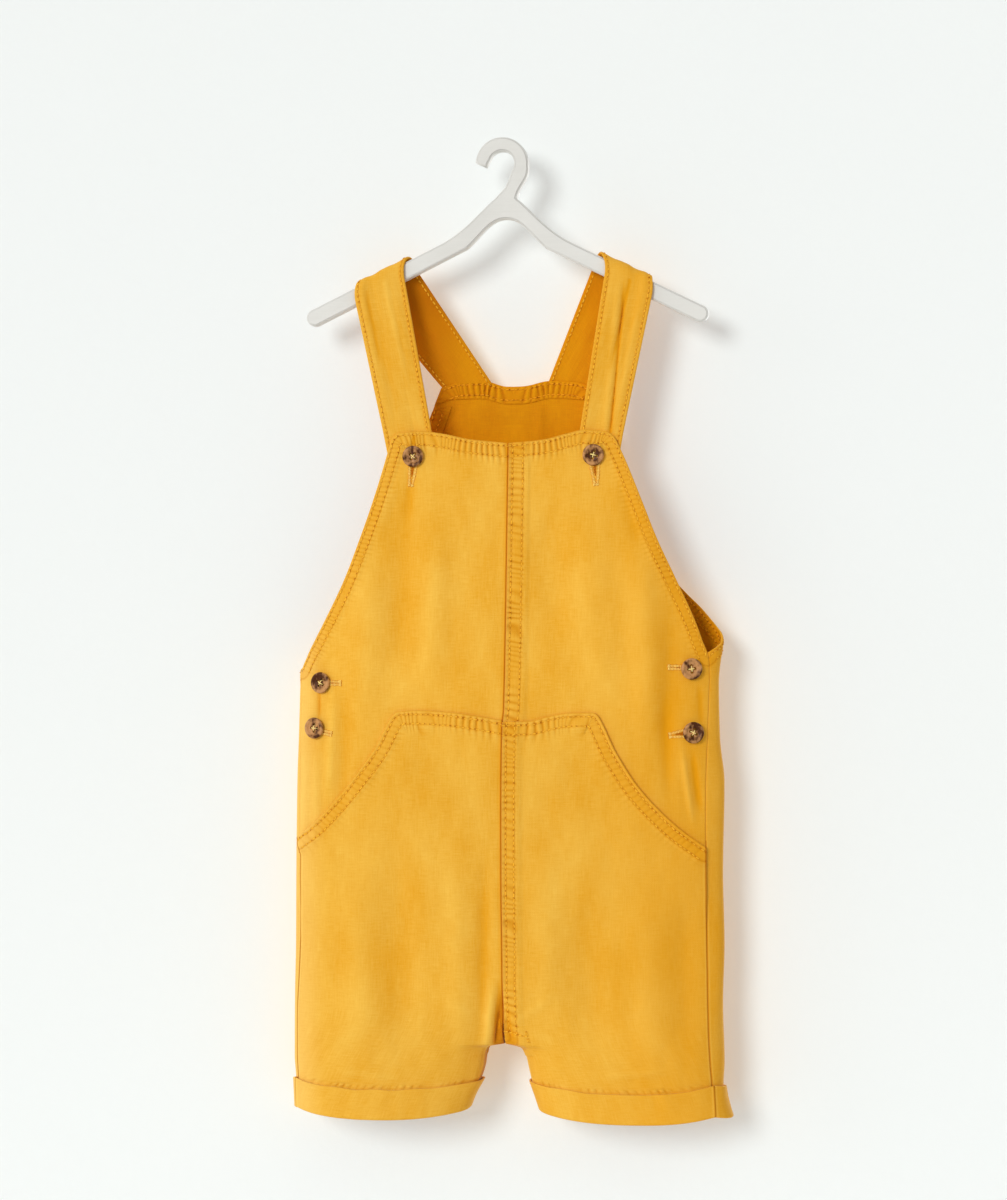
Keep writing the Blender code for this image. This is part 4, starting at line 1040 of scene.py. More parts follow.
# --------------------------------------------------------------------------------------------------
# The bib. Two halves of the same twill, felled together down the centre front with two rows of stitches. The
# top and the armholes are turned in and stitched twice. It runs on behind the pouch pocket as the pocket's
# back.
# --------------------------------------------------------------------------------------------------
BIB_CORNER = 6.0  # radius of its top corners
BEHIND_POCKET = 15.0  # how far it runs on behind the pocket's edge
BELOW_BIB_TOP, BELOW_POCKET_TOP = -195.0, -400.0
BIB_TOP_FADE, BIB_FOOT_START = 60, -250  # how far down its rows follow the top, and from where on the foot
BIB_TOP = (
    OutlineRow(0.0, -193.0, -193.0),
    OutlineRow(0.35, -190.3, -190.8),
    OutlineRow(0.62, -186.4, -186.8),
    OutlineRow(0.82, -184.8, -184.4),
    OutlineRow(1.0, -185.6, -185.2),
)
PocketRow = namedtuple("PocketRow", "reach level")
POCKET = {
    "left": (
        PocketRow(0.0, -374.2),
        PocketRow(0.14, -371.0),
        PocketRow(0.26, -369.0),
        PocketRow(0.40, -368.1),
        PocketRow(0.495, -368.9),
        PocketRow(0.60, -393.5),
        PocketRow(0.70, -412.0),
        PocketRow(0.80, -428.5),
        PocketRow(0.91, -443.5),
        PocketRow(1.0, -452.5),
    ),
    "right": (
        PocketRow(0.0, -375.2),
        PocketRow(0.13, -374.6),
        PocketRow(0.22, -371.6),
        PocketRow(0.32, -369.3),
        PocketRow(0.435, -369.0),
        PocketRow(0.56, -395.8),
        PocketRow(0.66, -415.8),
        PocketRow(0.76, -431.0),
        PocketRow(0.87, -444.5),
        PocketRow(1.0, -457.0),
    ),
}
BIB_STOPS = ((-193.0, 0), (-193.6, 0.3), (-200.0, 0.8), (-376.0, 1.15), (-390.0, 2.0))
BIB_HEM = Hem(None, (0.65, 0.24), 3.4, 8.0, ((2.0, 1.7), (8.8, 6.9)), margin=1.3, rise=0.4, ridge=0.3)
BIB_SEAM = Hem(None, (0.42, 0.42), 4.5, 3.0, ((3.0, 3.0), (9.8, 9.8)), margin=3.4, rise=0.6, ridge=0.7)
BIB_SEAM_WIDTH = {"left": 0.0, "right": 13.5}  # of the centre seam, on the half that shows it

bibs = {}
for side in SIDES:
    nominal = levels_down(BIB_STOPS)
    cut = columns(101)
    top = smooth(BIB_TOP, side, shares_at(side, "front", BELOW_BIB_TOP, cut))
    foot = smooth(POCKET[side], "level", shares_at(side, "front", BELOW_POCKET_TOP, cut)) - BEHIND_POCKET
    near_top = np.clip(1 - (nominal[0] - nominal) / BIB_TOP_FADE, 0, 1)
    near_foot = np.clip((BIB_FOOT_START - nominal) / (BIB_FOOT_START - nominal[-1]), 0, 1) ** 1.6
    level = nominal + (top - nominal[0]) * near_top + (foot - nominal[-1]) * near_foot
    away, in_panel = across_panel(side, "front", level, cut)
    t = np.clip(1 - (top[0, -1] - level[:, -1:]) / BIB_CORNER, 0, 1)
    places = np.stack([away - in_panel * BIB_CORNER * (1 - np.sqrt(1 - t * t)), level], axis=-1)
    armhole = places[1:, -1]
    line = np.concatenate([places[0], armhole[armhole[:, 1] > UNDERARM[side]]])
    hem = BIB_HEM._replace(line=line, turn=walked(places[0])[-1], block=BIB_SEAM_WIDTH[side])
    seam = BIB_SEAM._replace(line=upward(places)) if side == "right" else None
    bibs[side] = Panel(side, "front", places, joined=("centre",), hem=hem, seam=seam)
    piece, rows = stitched(f"front_bib_{side}", bibs[side], seam_start=14.0)
    stitches = sew(f"front_bib_{side}_stitches", rows)
    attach(piece, "root")
    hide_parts(f"front_bib_{side}")

# --------------------------------------------------------------------------------------------------
# The lower front. Two halves felled down the centre; their top edge is the pouch pocket's, turned in and
# stitched twice, level at the middle and slanting down to the side seams for the hands. Lower down they are
# the legs.
# --------------------------------------------------------------------------------------------------
POCKET_CORNER = {"left": 0.495, "right": 0.435}  # where its level edge turns down, as a share of the width
POCKET_TOP_FADE = 150  # how far down the rows follow its edge
POCKET_LIES_DOWN = -530
CUFF_HEIGHT = 20.0
LEG_STOPS = (
    (-374.0, 0),
    (-374.6, 0.3),
    (-378.0, 0.8),
    (-560.0, 1.25),
    (-578.0, 0.9),
    (-584.0, 0.6),
    (-593.0, 0.35),
    (-603.0, 0.8),
    (-617.0, 1.2),
    (HEM + CLOTH + GAP, 4.0),
)
POCKET_HEM = Hem(None, (0.62, 0.2), 4.2, 9.0, ((2.6, 2.6), (8.7, 8.7)), margin=1.4, rise=0.35, ridge=0.3)
POCKET_SEAM_WIDTH = {"left": 0.0, "right": 13.0}
LEG_SEAM = BIB_SEAM._replace(rows=((3.0, 3.0), (8.3, 8.3)), margin=3.6)
ABOVE_CUFF = Hem(None, (0.9, 0.9), 5.5, 3.5)  # the turn-up's fold pulls the leg above it into ripples
# At the fork the inseam's own stitches come round to the front, and a short bar ends them.
FORK_STITCHES = (
    ((1.5, -578.0), (13.5, -580.6)),
    ((13.6, -578.6), (13.9, -583.4)),
    ((14.4, -578.6), (14.7, -583.4)),
)


def pocket_layer(level):
    """The pocket lies on the bib; below the bib's foot the same cloth eases back on to the form."""
    return (GAP + CLOTH) * ease((level - POCKET_LIES_DOWN) / 50)


for side in SIDES:
    nominal = levels_down(LEG_STOPS)
    width = float(panel_width(side, "front", -369.0))
    step = EDGE_STEPS[-1]
    cut = columns(107, (POCKET_CORNER[side] * width - step) / (width - 2 * step))
    at_top, at_hem = (shares_at(side, "front", level, cut) for level in (BELOW_POCKET_TOP, NEAR_HEM))
    shift = smooth(POCKET[side], "level", at_top) - nominal[0]
    near_top = np.clip(1 - (nominal[0] - nominal) / POCKET_TOP_FADE, 0, 1) ** 1.15
    places = laid_out(side, "front", nominal + shift * near_top + hem_climb(at_hem, nominal), cut)
    to_corner = places[0][places[0][:, 0] < POCKET_CORNER[side] * width + 0.1]
    turn, block = walked(to_corner)[-1], POCKET_SEAM_WIDTH[side]
    hem = POCKET_HEM._replace(line=places[0], turn=turn, block=block)
    seam = LEG_SEAM._replace(line=upward(places)) if side == "right" else None
    above_cuff = places[np.abs(places[:, 0, 1] - HEM - CUFF_HEIGHT).argmin()]
    line = np.stack([above_cuff[:, 0], HEM + CUFF_HEIGHT + hem_climb(at_hem)[0]], axis=-1)
    sewn = {"hem": hem, "seam": seam, "turnup": ABOVE_CUFF._replace(line=line)}
    panel = Panel(side, "front", places, pocket_layer, joined=("centre", "side"), **sewn)
    piece, rows = stitched(f"front_leg_{side}", panel, seam_start=4.0)
    if side == "right":
        rows += [panel.on_cloth(np.linspace(end, start, 24)) for start, end in FORK_STITCHES]
    stitches = sew(f"front_leg_{side}_stitches", rows)
    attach(piece, "root")
    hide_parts(f"front_leg_{side}")

# --------------------------------------------------------------------------------------------------
# The side openings. Under each side edge of the bib the back runs on as an underlap of the same twill, and
# the two side buttons are sewn to it.
# --------------------------------------------------------------------------------------------------
UNDERLAP_REACH, UNDERLAP_CLOTH, UNDERLAP_COLUMNS = 26.0, 1.4, 21
UNDERLAP_LEVELS = {"left": (-345.5, -414.0), "right": (-335.5, -414.0)}

for side in SIDES:
    top, bottom = UNDERLAP_LEVELS[side]
    cut = (np.ones(UNDERLAP_COLUMNS), np.linspace(-UNDERLAP_REACH, 0, UNDERLAP_COLUMNS))
    nominal = levels_down(((top, 0), (top - 0.5, 0.5), (bottom + 0.5, 1.3), (bottom, 0.5)))
    places = laid_out(side, "front", nominal + np.zeros(UNDERLAP_COLUMNS), cut)
    panel = Panel(side, "front", places, -CLOTH - GAP, UNDERLAP_CLOTH)
    piece = shell(f"side_underlap_{side}_cloth", *panel.faces(), BOTH_FACES)
    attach(piece, "root")
    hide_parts(f"side_underlap_{side}")
    (top - bottom) * MM

# --------------------------------------------------------------------------------------------------
# The turn-ups. Each leg's hem is folded up outside and pressed: a doubled band round the leg, tall outside
# and short inside, with a soft fold at its foot.
# --------------------------------------------------------------------------------------------------
OUTSIDE, INSIDE, LIP = GAP + CLOTH, -CLOTH - GAP - 1.2, 10.0
CUFF_COLUMNS = {"front": 89, "back": 91}
CUFF_WAVE, CUFF_SLACK = 0.55, 0.5  # how uneven its edge is, and how far its cloth stands off
SEAM_LUMP = 0.45  # how much the side seam inside it lifts it
SectionRow = namedtuple("SectionRow", "offset height")
CUFF_SECTION = (
    SectionRow(OUTSIDE, CUFF_HEIGHT),
    SectionRow(OUTSIDE, 1.0),
    SectionRow(OUTSIDE - 1.0, 0.0),
    SectionRow(INSIDE + 0.8, 0.0),
    SectionRow(INSIDE, 0.8),
    SectionRow(INSIDE, LIP),
    SectionRow(-CLOTH - GAP, LIP),
    SectionRow(-CLOTH - GAP, CLOTH),
    SectionRow(GAP, CLOTH),
    SectionRow(GAP, CUFF_HEIGHT),
)


def rounded_loop(loop, step, radius, fine=0.1):
    """A closed outline with its corners rounded, at even steps."""
    loop = np.array(loop + loop[:1], float)
    spots = points_at(loop, np.arange(0, walked(loop)[-1], fine))
    reach = int(radius / fine)
    soft = sum(np.roll(spots, k, axis=0) for k in range(-reach, reach + 1)) / (2 * reach + 1)
    return soft[:: int(step / fine)]


section = rounded_loop(CUFF_SECTION, step=0.9, radius=0.6)
for side in SIDES:
    rings, to_seam = [], []
    for offset, height in section:
        ring, from_seam = [], []
        for face, way in (("front", 1), ("back", -1)):
            cut = columns(CUFF_COLUMNS[face])
            level = HEM + height + hem_climb(shares_at(side, face, NEAR_HEM, cut))
            away = across_panel(side, face, level, cut)[0]
            from_side = panel_width(side, face, level) - away
            high = ease(height / CUFF_HEIGHT)
            level = level + CUFF_WAVE * high * wander(away, SIDES[side] * 9, 13, 71)
            slack = CUFF_SLACK * high * (0.4 + wander(away, SIDES[side] * 9, 8, 72)) * ease(from_side / 9)
            seam_lump = SEAM_LUMP * np.exp(-((from_side / 1.6) ** 2)) * (face == "front")
            out = offset + (slack + seam_lump if offset > 0 else 0)
            ring.append(on_form(side, face, np.stack([away, level], axis=-1), out)[0, ::way])
            from_seam.append(from_side[0, ::way])
        rings.append(np.concatenate(ring))
        to_seam.append(np.concatenate(from_seam))
    rings = np.array(rings)
    down = walked(rings[:, 20])[:, None]  # any column gives the length round the band's section
    flat = np.stack(np.broadcast_arrays(walked(rings, 1), down), axis=-1).reshape(-1, 2)
    grid = np.arange(rings[..., 0].size).reshape(rings.shape[:2])
    quads = grid_quads(np.pad(grid, (0, 1), mode="wrap"))
    faces = quads[:, :: -SIDES[side]].tolist()
    plain = {name: np.full((grid.size, 3), FAR) for name in ("hem_rows", "seam_rows")}
    plain.update({name: np.zeros((grid.size, 1)) for name in ("ripple", "pull", "crease")})
    # The distance to the side seam, for the painted shadow line along it.
    plain["seam_rows"][:, 2] = np.concatenate(to_seam)
    used = np.zeros(len(faces), int)
    piece = cloth_mesh(f"cuff_{side}_cloth", rings.reshape(-1, 3), faces, flat, plain, (TWILL,), used)
    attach(piece, "root")
    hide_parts(f"cuff_{side}")

# --------------------------------------------------------------------------------------------------
# The hanger. One board, sawn to a flat outline with its hook, its edges rounded over and lacquered white.
# --------------------------------------------------------------------------------------------------
HOOK_RADIUS, HOOK_BAND = 8.2, 9.2
HOOK_TIP = ((-9.1, -7.9), (-10.6, -10.5))  # the inner edge flares and the tip is cut at a slant
ARMS_CENTRE = 2.6  # the arms' middle, right of the hook's
ARM_TOP, ARM_TIP = (44.0, -61.2), (130.5, -103.5)  # ends of an arm's straight upper edge, out from the middle
ARM_HEIGHT = 11.0
ARM_SLOPE = (ARM_TIP[1] - ARM_TOP[1]) / (ARM_TIP[0] - ARM_TOP[0])
# The curves of the outline, each by its two ends and the two corners between them that it bends towards.
NECK_RIGHT = ((17.4, -12.5), (17.0, -20.0), (10.5, -24.5), (9.6, -31.0))
NECK_LEFT = ((2.2, -24.0), (4.2, -19.5), (5.0, -17.5), (6.2, -14.2))
SHOULDER = ((8.0, -32.0), (15.0, -37.0), (26.5, -52.6), ARM_TOP)
ARCH_FOOT, ARCH = 26.0, ((15.5, -54.8), (10.5, -44.8), (0.0, -44.8))
BoardRow = namedtuple("BoardRow", "depth inset")
BOARD_EDGE = (
    BoardRow(-4.5, 1.1),
    BoardRow(-4.42, 0.62),
    BoardRow(-4.18, 0.28),
    BoardRow(-3.8, 0.07),
    BoardRow(-3.3, 0.0),
    BoardRow(3.3, 0.0),
    BoardRow(3.8, 0.07),
    BoardRow(4.18, 0.28),
    BoardRow(4.42, 0.62),
    BoardRow(4.5, 1.1),
)


def arc(centre, radius, start, end, steps):
    """Points along an arc from one angle to another, in degrees."""
    turns = np.radians(np.linspace(start, end, steps))
    return np.stack([centre[0] + radius * np.cos(turns), centre[1] + radius * np.sin(turns)], axis=-1)


def curve(corners, steps):
    """Points along a curve given by its two ends and the two corners between them."""
    a, b, c, d = (np.array(corner, float) for corner in corners)
    t = np.linspace(0, 1, steps)[:, None]
    return a * (1 - t) ** 3 + 3 * b * t * (1 - t) ** 2 + 3 * c * t * t * (1 - t) + d * t**3


def arm_outline():
    """Half of the lower part, out from the middle: shoulder, straight arm, round tip, underside, arch."""
    slope = math.atan(ARM_SLOPE)
    down = np.array([math.sin(slope), -math.cos(slope)])
    start = 90 + math.degrees(slope)
    low_tip = np.array(ARM_TIP) + ARM_HEIGHT * down
    underside = (ARCH_FOOT, low_tip[1] + ARM_SLOPE * (ARCH_FOOT - low_tip[0]) + 0.6)
    tip = arc(np.array(ARM_TIP) + ARM_HEIGHT / 2 * down, ARM_HEIGHT / 2, start, start - 180, 25)
    return np.concatenate([curve(SHOULDER, 24), tip, curve((underside, *ARCH), 28)])


def drawn_in(outline, inset):
    """A closed outline that runs clockwise, moved inwards with its corners mitred."""
    before = outline - np.roll(outline, 1, axis=0)
    after = np.roll(outline, -1, axis=0) - outline
    before /= np.linalg.norm(before, axis=1, keepdims=True)
    after /= np.linalg.norm(after, axis=1, keepdims=True)
    inward = np.stack([before[:, 1] + after[:, 1], -before[:, 0] - after[:, 0]], axis=1)
    inward /= np.linalg.norm(inward, axis=1, keepdims=True)
    miter = np.clip(inward[:, 0] * before[:, 1] - inward[:, 1] * before[:, 0], 0.6, 1)
    return outline + inward * (inset / miter)[:, None]


def lacquer_finish():
    """White lacquer on wood: faintly uneven, and rubbed a little greyer where clothes have slid over it."""
    material, w = new_finish("white lacquer")
    place = w.spot()
    broad = w.noise(place, (0.05, 0.05, 0.05))
    fine = w.noise(place, (0.0016, 0.0016, 0.0016))
    brushed = w.noise(place, (0.02, 0.004, 0.0012))
    rubbed = w.clamp(broad * 1.6 + brushed * 0.5 + 0.35)
    colour = w.blend(rubbed, (0.73, 0.725, 0.69, 1), (0.65, 0.645, 0.61, 1))
    bump = w.bump(fine * 0.05 + brushed * 0.05)
    surface(w, Base_Color=colour, Roughness=0.5 + broad * 0.15 + brushed * 0.1, Normal=bump)
    return material


half = arm_outline()
hook_centre = (0.0, -HOOK_RADIUS)
outline = np.concatenate(
    [
        arc(hook_centre, HOOK_RADIUS + HOOK_BAND, 178, 0, 48),
        curve(NECK_RIGHT, 18),
        half + (ARMS_CENTRE, 0),
        half[-2::-1] * (-1, 1) + (ARMS_CENTRE, 0),
        curve(NECK_LEFT, 12),
        arc(hook_centre, HOOK_RADIUS, -36, 160, 36),
        HOOK_TIP,
    ]
)
rings = np.array([np.insert(drawn_in(outline, row.inset), 1, row.depth, axis=1) for row in BOARD_EDGE])
grid = np.arange(rings[..., 0].size).reshape(rings.shape[:2])
faces = grid_quads(np.pad(grid, ((0, 0), (0, 1)), mode="wrap")).tolist()
faces += [grid[0].tolist(), grid[-1, ::-1].tolist()]
mesh = bpy.data.meshes.new("hanger_board")
mesh.from_pydata(rings.reshape(-1, 3) * MM, [], faces)
mesh.shade_smooth()
for cap in mesh.polygons[-2:]:
    cap.use_smooth = False
mesh.materials.append(lacquer_finish())
board = set_out("hanger_board", mesh)
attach(board, "root")
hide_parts("hanger")

# --------------------------------------------------------------------------------------------------
# The straps. Each is two layers of twill, turned, pressed and stitched down both edges. It comes up from
# behind the bib, where its button is sewn to it, folds flat over an arm of the hanger and is sewn to the
# neckline.
# --------------------------------------------------------------------------------------------------
STRAP_WIDTH, STRAP_CLOTH = 31.0, 2.0
STRAP_ROW, STRAP_RIPPLES = 2.5, 3.7  # from each edge to its row of stitches, and between the ripples there
STRAP_END, STRAP_AT_BIB, STRAP_ROOT = -214.0, -186.0, -152.0  # levels: its end, the bib's top, the neckline
OVER_ARM = (5.4, 6.2, 4.6)  # the fold over the arm: half width, height and drop of its inner face
STRAP_COLUMNS, END_ROWS, FRONT_ROWS, ARM_ROWS, REAR_ROWS = 31, 19, 75, 25, 58
STRAP_SHADE = {"left": 1.9, "right": 1.0}  # how deep the painted shadow is that the strap's front casts on its rear part
StrapRow = namedtuple("StrapRow", "edge end_x bib_x front_x rear_x root_x")
STRAPS = {
    "left": (
        StrapRow("outer", -72.0, -77.8, -98.4, -94.5, -42.2),
        StrapRow("inner", -40.5, -45.2, -65.5, -59.5, -8.8),
    ),
    "right": (
        StrapRow("outer", 76.5, 81.2, 100.4, 97.5, 57.6),
        StrapRow("inner", 48.5, 52.4, 69.2, 60.5, 28.2),
    ),
}
# Creases along the straps: where each lies across the strap at the bib and over the hanger, and its extent.
StrapFold = namedtuple("StrapFold", "side at_bib at_arm width depth start end")
STRAP_FOLDS = (
    StrapFold("right", 0.30, 0.60, 1.3, -1.3, -0.2, 1.0),
    StrapFold("right", 0.42, 0.70, 2.0, 0.6, -0.2, 1.0),
    StrapFold("right", 0.62, 0.48, 1.1, -0.7, 0.35, 1.2),
    StrapFold("right", 0.20, 0.22, 1.6, 0.5, 0.1, 0.9),
    StrapFold("left", 0.40, 0.34, 3.4, -0.8, 0.1, 0.8),
    StrapFold("left", 0.70, 0.62, 1.6, 0.6, 0.3, 1.1),
    StrapFold("left", 0.22, 0.24, 1.4, -0.5, 0.4, 1.1),
)


def arm_level(x):
    """Level of the arm's upper edge under x."""
    return ARM_TOP[1] + ARM_SLOPE * (np.abs(x - ARMS_CENTRE) - ARM_TOP[0])


def front_places(side, x, level):
    """The places on the front of some points given by x and level."""
    x, level = np.broadcast_arrays(np.asarray(x, float), np.asarray(level, float))
    away = np.empty(x.shape)
    for i in np.ndindex(x.shape):
        length = float(ring_length(side, level[i]))
        shares = np.linspace(0, float(panel_width(side, "front", level[i])) / length, 200)
        ring = ring_point(side, np.full(200, level[i]), shares)[:, 0] * SIDES[side]
        away[i] = np.interp((x[i] - SIDES[side] * GAP / 2) * SIDES[side], ring, shares) * length
    return np.stack([away, level], axis=-1)


def front_y(side, x, level):
    """The form's front surface there, for what is laid on it."""
    return on_form(side, "front", front_places(side, x, level), 0.0)[..., 1]


def strap_folds(side, t, across):
    """How far the strap's creases push it forwards between the bib and the arm, and how sharply."""
    push, sharp = 0.0, 0.0
    for fold in STRAP_FOLDS:
        if fold.side == side:
            along = ease((t - fold.start) / 0.2) * ease((fold.end - t) / 0.2)
            off = (across - fold.at_bib - t * (fold.at_arm - fold.at_bib)) * STRAP_WIDTH
            this = fold.depth * along * np.exp(-((off / fold.width) ** 2))
            push, sharp = push + this, sharp + this / fold.width
    return push, sharp


def strap_middle(side):
    """The strap's middle surface, with rows from its front end to its root and columns from its outer to its
    inner edge, the sharpness of its creases there, and the painted shadow of its front on its rear part."""
    share, added = columns(STRAP_COLUMNS)
    across = share + added / STRAP_WIDTH
    flat = np.zeros_like(across)
    outer, inner = STRAPS[side]
    end_x, bib_x, front_x, rear_x, root_x = (a + across * (b - a) for a, b in zip(outer[1:], inner[1:]))
    behind, half = CLOTH + GAP + STRAP_CLOTH / 2, STRAP_CLOTH / 2
    slant = math.cos(math.atan(ARM_SLOPE))
    width, height, drop = OVER_ARM
    rows, crease_and_shade_rows = [], []
    for t in np.linspace(0, 1, END_ROWS, endpoint=False):
        x, z = end_x + t * (bib_x - end_x), STRAP_END + t * (STRAP_AT_BIB - STRAP_END)
        rows.append((x, front_y(side, x, z) + behind, z + flat))
        crease_and_shade_rows.append(flat)
    seat = front_y(side, bib_x, STRAP_AT_BIB) + behind
    shoulder, rear_shoulder = (arm_level(x) - drop / slant for x in (front_x, rear_x))
    for t in np.linspace(0, 1, FRONT_ROWS, endpoint=False):
        push, sharp = strap_folds(side, t, across)
        y = seat + t * (-width - half - seat) - push
        rows.append((bib_x + t * (front_x - bib_x), y, STRAP_AT_BIB + t * (shoulder - STRAP_AT_BIB)))
        crease_and_shade_rows.append(sharp)
    for turn in np.linspace(0, math.pi, ARM_ROWS):
        c, s, t = math.cos(turn), math.sin(turn), turn / math.pi
        y = -(width + half) * math.copysign(abs(c) ** (2 / 3), c)
        rise = (height + half) * max(s, 0.0) ** (2 / 3) / slant
        z = shoulder + t * (rear_shoulder - shoulder) + rise
        rows.append((front_x + t * (rear_x - front_x), y + flat, z))
        crease_and_shade_rows.append(flat)
    neck = abs(smooth(BACK_EDGE, side, STRAP_ROOT - 3))
    root_share = np.clip(np.abs(root_x - smooth(CENTRE, "back", STRAP_ROOT)) / neck, 0, 1)
    root = smooth(BACK_TOP, side, root_share) - 1.2
    wall = smooth(FORM, "back", STRAP_ROOT) - CLOTH / 2
    for t, hidden in zip(np.linspace(0, 1, REAR_ROWS + 1)[1:], np.linspace(0, 1, REAR_ROWS)):
        y = width + half + t * (wall - width - half)
        rows.append((rear_x + t * (root_x - rear_x), y + flat, rear_shoulder + t * (root - rear_shoulder)))
        # Painted shadow of the strap's front on its rear part, near the arm, carried as a crease.
        crease_and_shade_rows.append(flat - STRAP_SHADE[side] * (1 - ease(hidden / 0.7)))
    middle = np.array(rows).transpose(0, 2, 1)
    soft = middle.copy()
    for k in range(1, 4):
        soft[3:-3] += middle[3 - k : len(middle) - 3 - k] + middle[3 + k : len(middle) - 3 + k]
    soft[3:-3] /= 7
    return soft, np.array(crease_and_shade_rows)


for side in SIDES:
    middle, crease = strap_middle(side)
    normal = np.cross(np.gradient(middle, axis=0), np.gradient(middle, axis=1)) * SIDES[side]
    normal /= np.linalg.norm(normal, axis=-1, keepdims=True)
    aside, along = walked(middle, 1), walked(middle)
    from_edge = np.minimum(aside, aside[:, -1:] - aside)
    rows = np.full(middle.shape, FAR)
    rows[..., 0], rows[..., 1] = aside - STRAP_ROW, aside[:, -1:] - aside - STRAP_ROW
    phase = along / STRAP_RIPPLES + 0.8 * wander(along, 0 * along, 15, 61) + (aside > from_edge) * 0.4
    pull = 0.15 * ease(from_edge / 1.0) * (1 - ease((from_edge - STRAP_ROW) / 3.0))
    pull = pull * (0.7 + 0.3 * wander(along, aside, 17, 62))
    lift = 0.5 * wander(aside, along * 0.16, 7.5, 63) + 0.3 * wander(aside, along * 0.1, 3.6, 64)
    lift = lift * ease(from_edge / 4.0) - 0.5 * pull * np.cos(2 * np.pi * phase)
    lift = lift - 0.2 * np.exp(-(((from_edge - STRAP_ROW) / STITCH_DENT_WIDTH) ** 2))
    thick = STRAP_CLOTH / 2 - 0.6 * np.clip(1 - from_edge / 0.8, 0, 1) ** 2
    fields = {"hem_rows": rows, "seam_rows": np.full(middle.shape, FAR)}
    fields.update(ripple=phase, pull=pull, crease=crease)
    shown = middle + normal * (thick + lift)[..., None]
    hidden = middle - normal * (thick - lift)[..., None]
    places = np.stack([aside, along], axis=-1)
    piece = shell(f"strap_{side}_cloth", shown, hidden, places, fields, BOTH_FACES, through=True)
    sewn = []
    for face, sign in ((shown, 1), (hidden, -1)):
        for inset in (STRAP_ROW + 0 * aside[:, -1], aside[:, -1] - STRAP_ROW):
            column = np.array([np.interp(at, row, np.arange(len(row))) for at, row in zip(inset, aside)])
            low, r = column.astype(int), np.arange(len(aside))
            part = (column - low)[:, None]
            spot = face[r, low] * (1 - part) + face[r, low + 1] * part
            off = sign * normal[r, low]
            sewn.append((spot + off * 0.08, off))
    stitches = sew(f"strap_{side}_stitches", sewn)
    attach(piece, "root")
    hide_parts(f"strap_{side}")

# --------------------------------------------------------------------------------------------------
# The buttonholes. Each is a slit in the twill, whipped closely down both sides and across its end with the
# same thread, and its gap is painted shade with flat dark strips. The two on the bib run down from their
# buttons, and the four at the sides run in towards the middle.
# --------------------------------------------------------------------------------------------------
PURL = stitch_shape("purl", 2.2, 0.95, 0.8)
PURL.data.transform(Matrix.Rotation(math.pi / 2, 4, "Z"))
PURL_THREAD = thread_finish("purl thread", (0.93, 0.58, 0.14, 1), (0.64, 0.21, 0.003, 1))
# Flat dark strips laid in the buttonhole's gap: painted shade.
SLIT_SHADE = thread_finish("slit", (0.50, 0.14, 0.001, 1), (0.40, 0.10, 0.001, 1))
SLIT_SHADE_STRIP = stitch_shape("slit thread", 1.6, 1.0, 0.06)
END_BAR = 1.5  # half the width of the bar that closes its end
SLIT_LENGTH = 0.62  # how far its painted shade runs into the gap, as a share of its length
SLIT_SHARES = (-0.24, -0.08, 0.08, 0.24)  # where its strips of painted shade start, as shares of its gap there
HoleRow = namedtuple("HoleRow", "name side x level end_x end_level start_gap end_gap")
BUTTONHOLES = (
    HoleRow("bib_left", "left", -57.0, -204.0, -58.9, -220.4, 5.2, 2.0),
    HoleRow("bib_right", "right", 62.6, -204.0, 64.0, -220.4, 6.6, 1.8),
    HoleRow("side_left_upper", "left", -118.0, -350.6, -105.6, -350.6, 2.0, 1.8),
    HoleRow("side_left_lower", "left", -122.0, -382.4, -111.6, -384.0, 2.0, 1.8),
    HoleRow("side_right_upper", "right", 125.0, -340.0, 111.7, -339.5, 2.0, 1.8),
    HoleRow("side_right_lower", "right", 124.0, -382.0, 112.7, -383.9, 5.0, 1.8),
)


def front_line(panel, start, end, lift):
    """Points along a straight line drawn on a front panel, each end given as x and level."""
    ends = front_places(panel.side, (start[0], end[0]), (start[1], end[1]))
    share = np.linspace(0, 1, 24)[:, None]
    return panel.on_cloth(ends[0] * (1 - share) + ends[1] * share, lift)


for row in BUTTONHOLES:
    panel = bibs[row.side]
    run = np.array([row.end_x - row.x, row.end_level - row.level])
    aside = np.array([-run[1], run[0]]) / np.hypot(*run)
    start, end = np.array([row.x, row.level]), np.array([row.end_x, row.end_level])
    whipped = []
    for sign in (-1, 1):
        first, last = start + sign * aside * row.start_gap / 2, end + sign * aside * row.end_gap / 2
        whipped.append(front_line(panel, first, last, 0.05))
    whipped.append(front_line(panel, end - aside * END_BAR, end + aside * END_BAR, 0.12))
    sew(f"buttonhole_{row.name}", whipped, PURL, 0.95, PURL_THREAD)
    # Painted shade in the top of the gap.
    offsets = [aside * share * row.start_gap for share in SLIT_SHARES]
    slits = [front_line(panel, start + offset, start + run * SLIT_LENGTH, 0.02) for offset in offsets]
    sew(f"slit_{row.name}", slits, SLIT_SHADE_STRIP, 1.2, SLIT_SHADE)

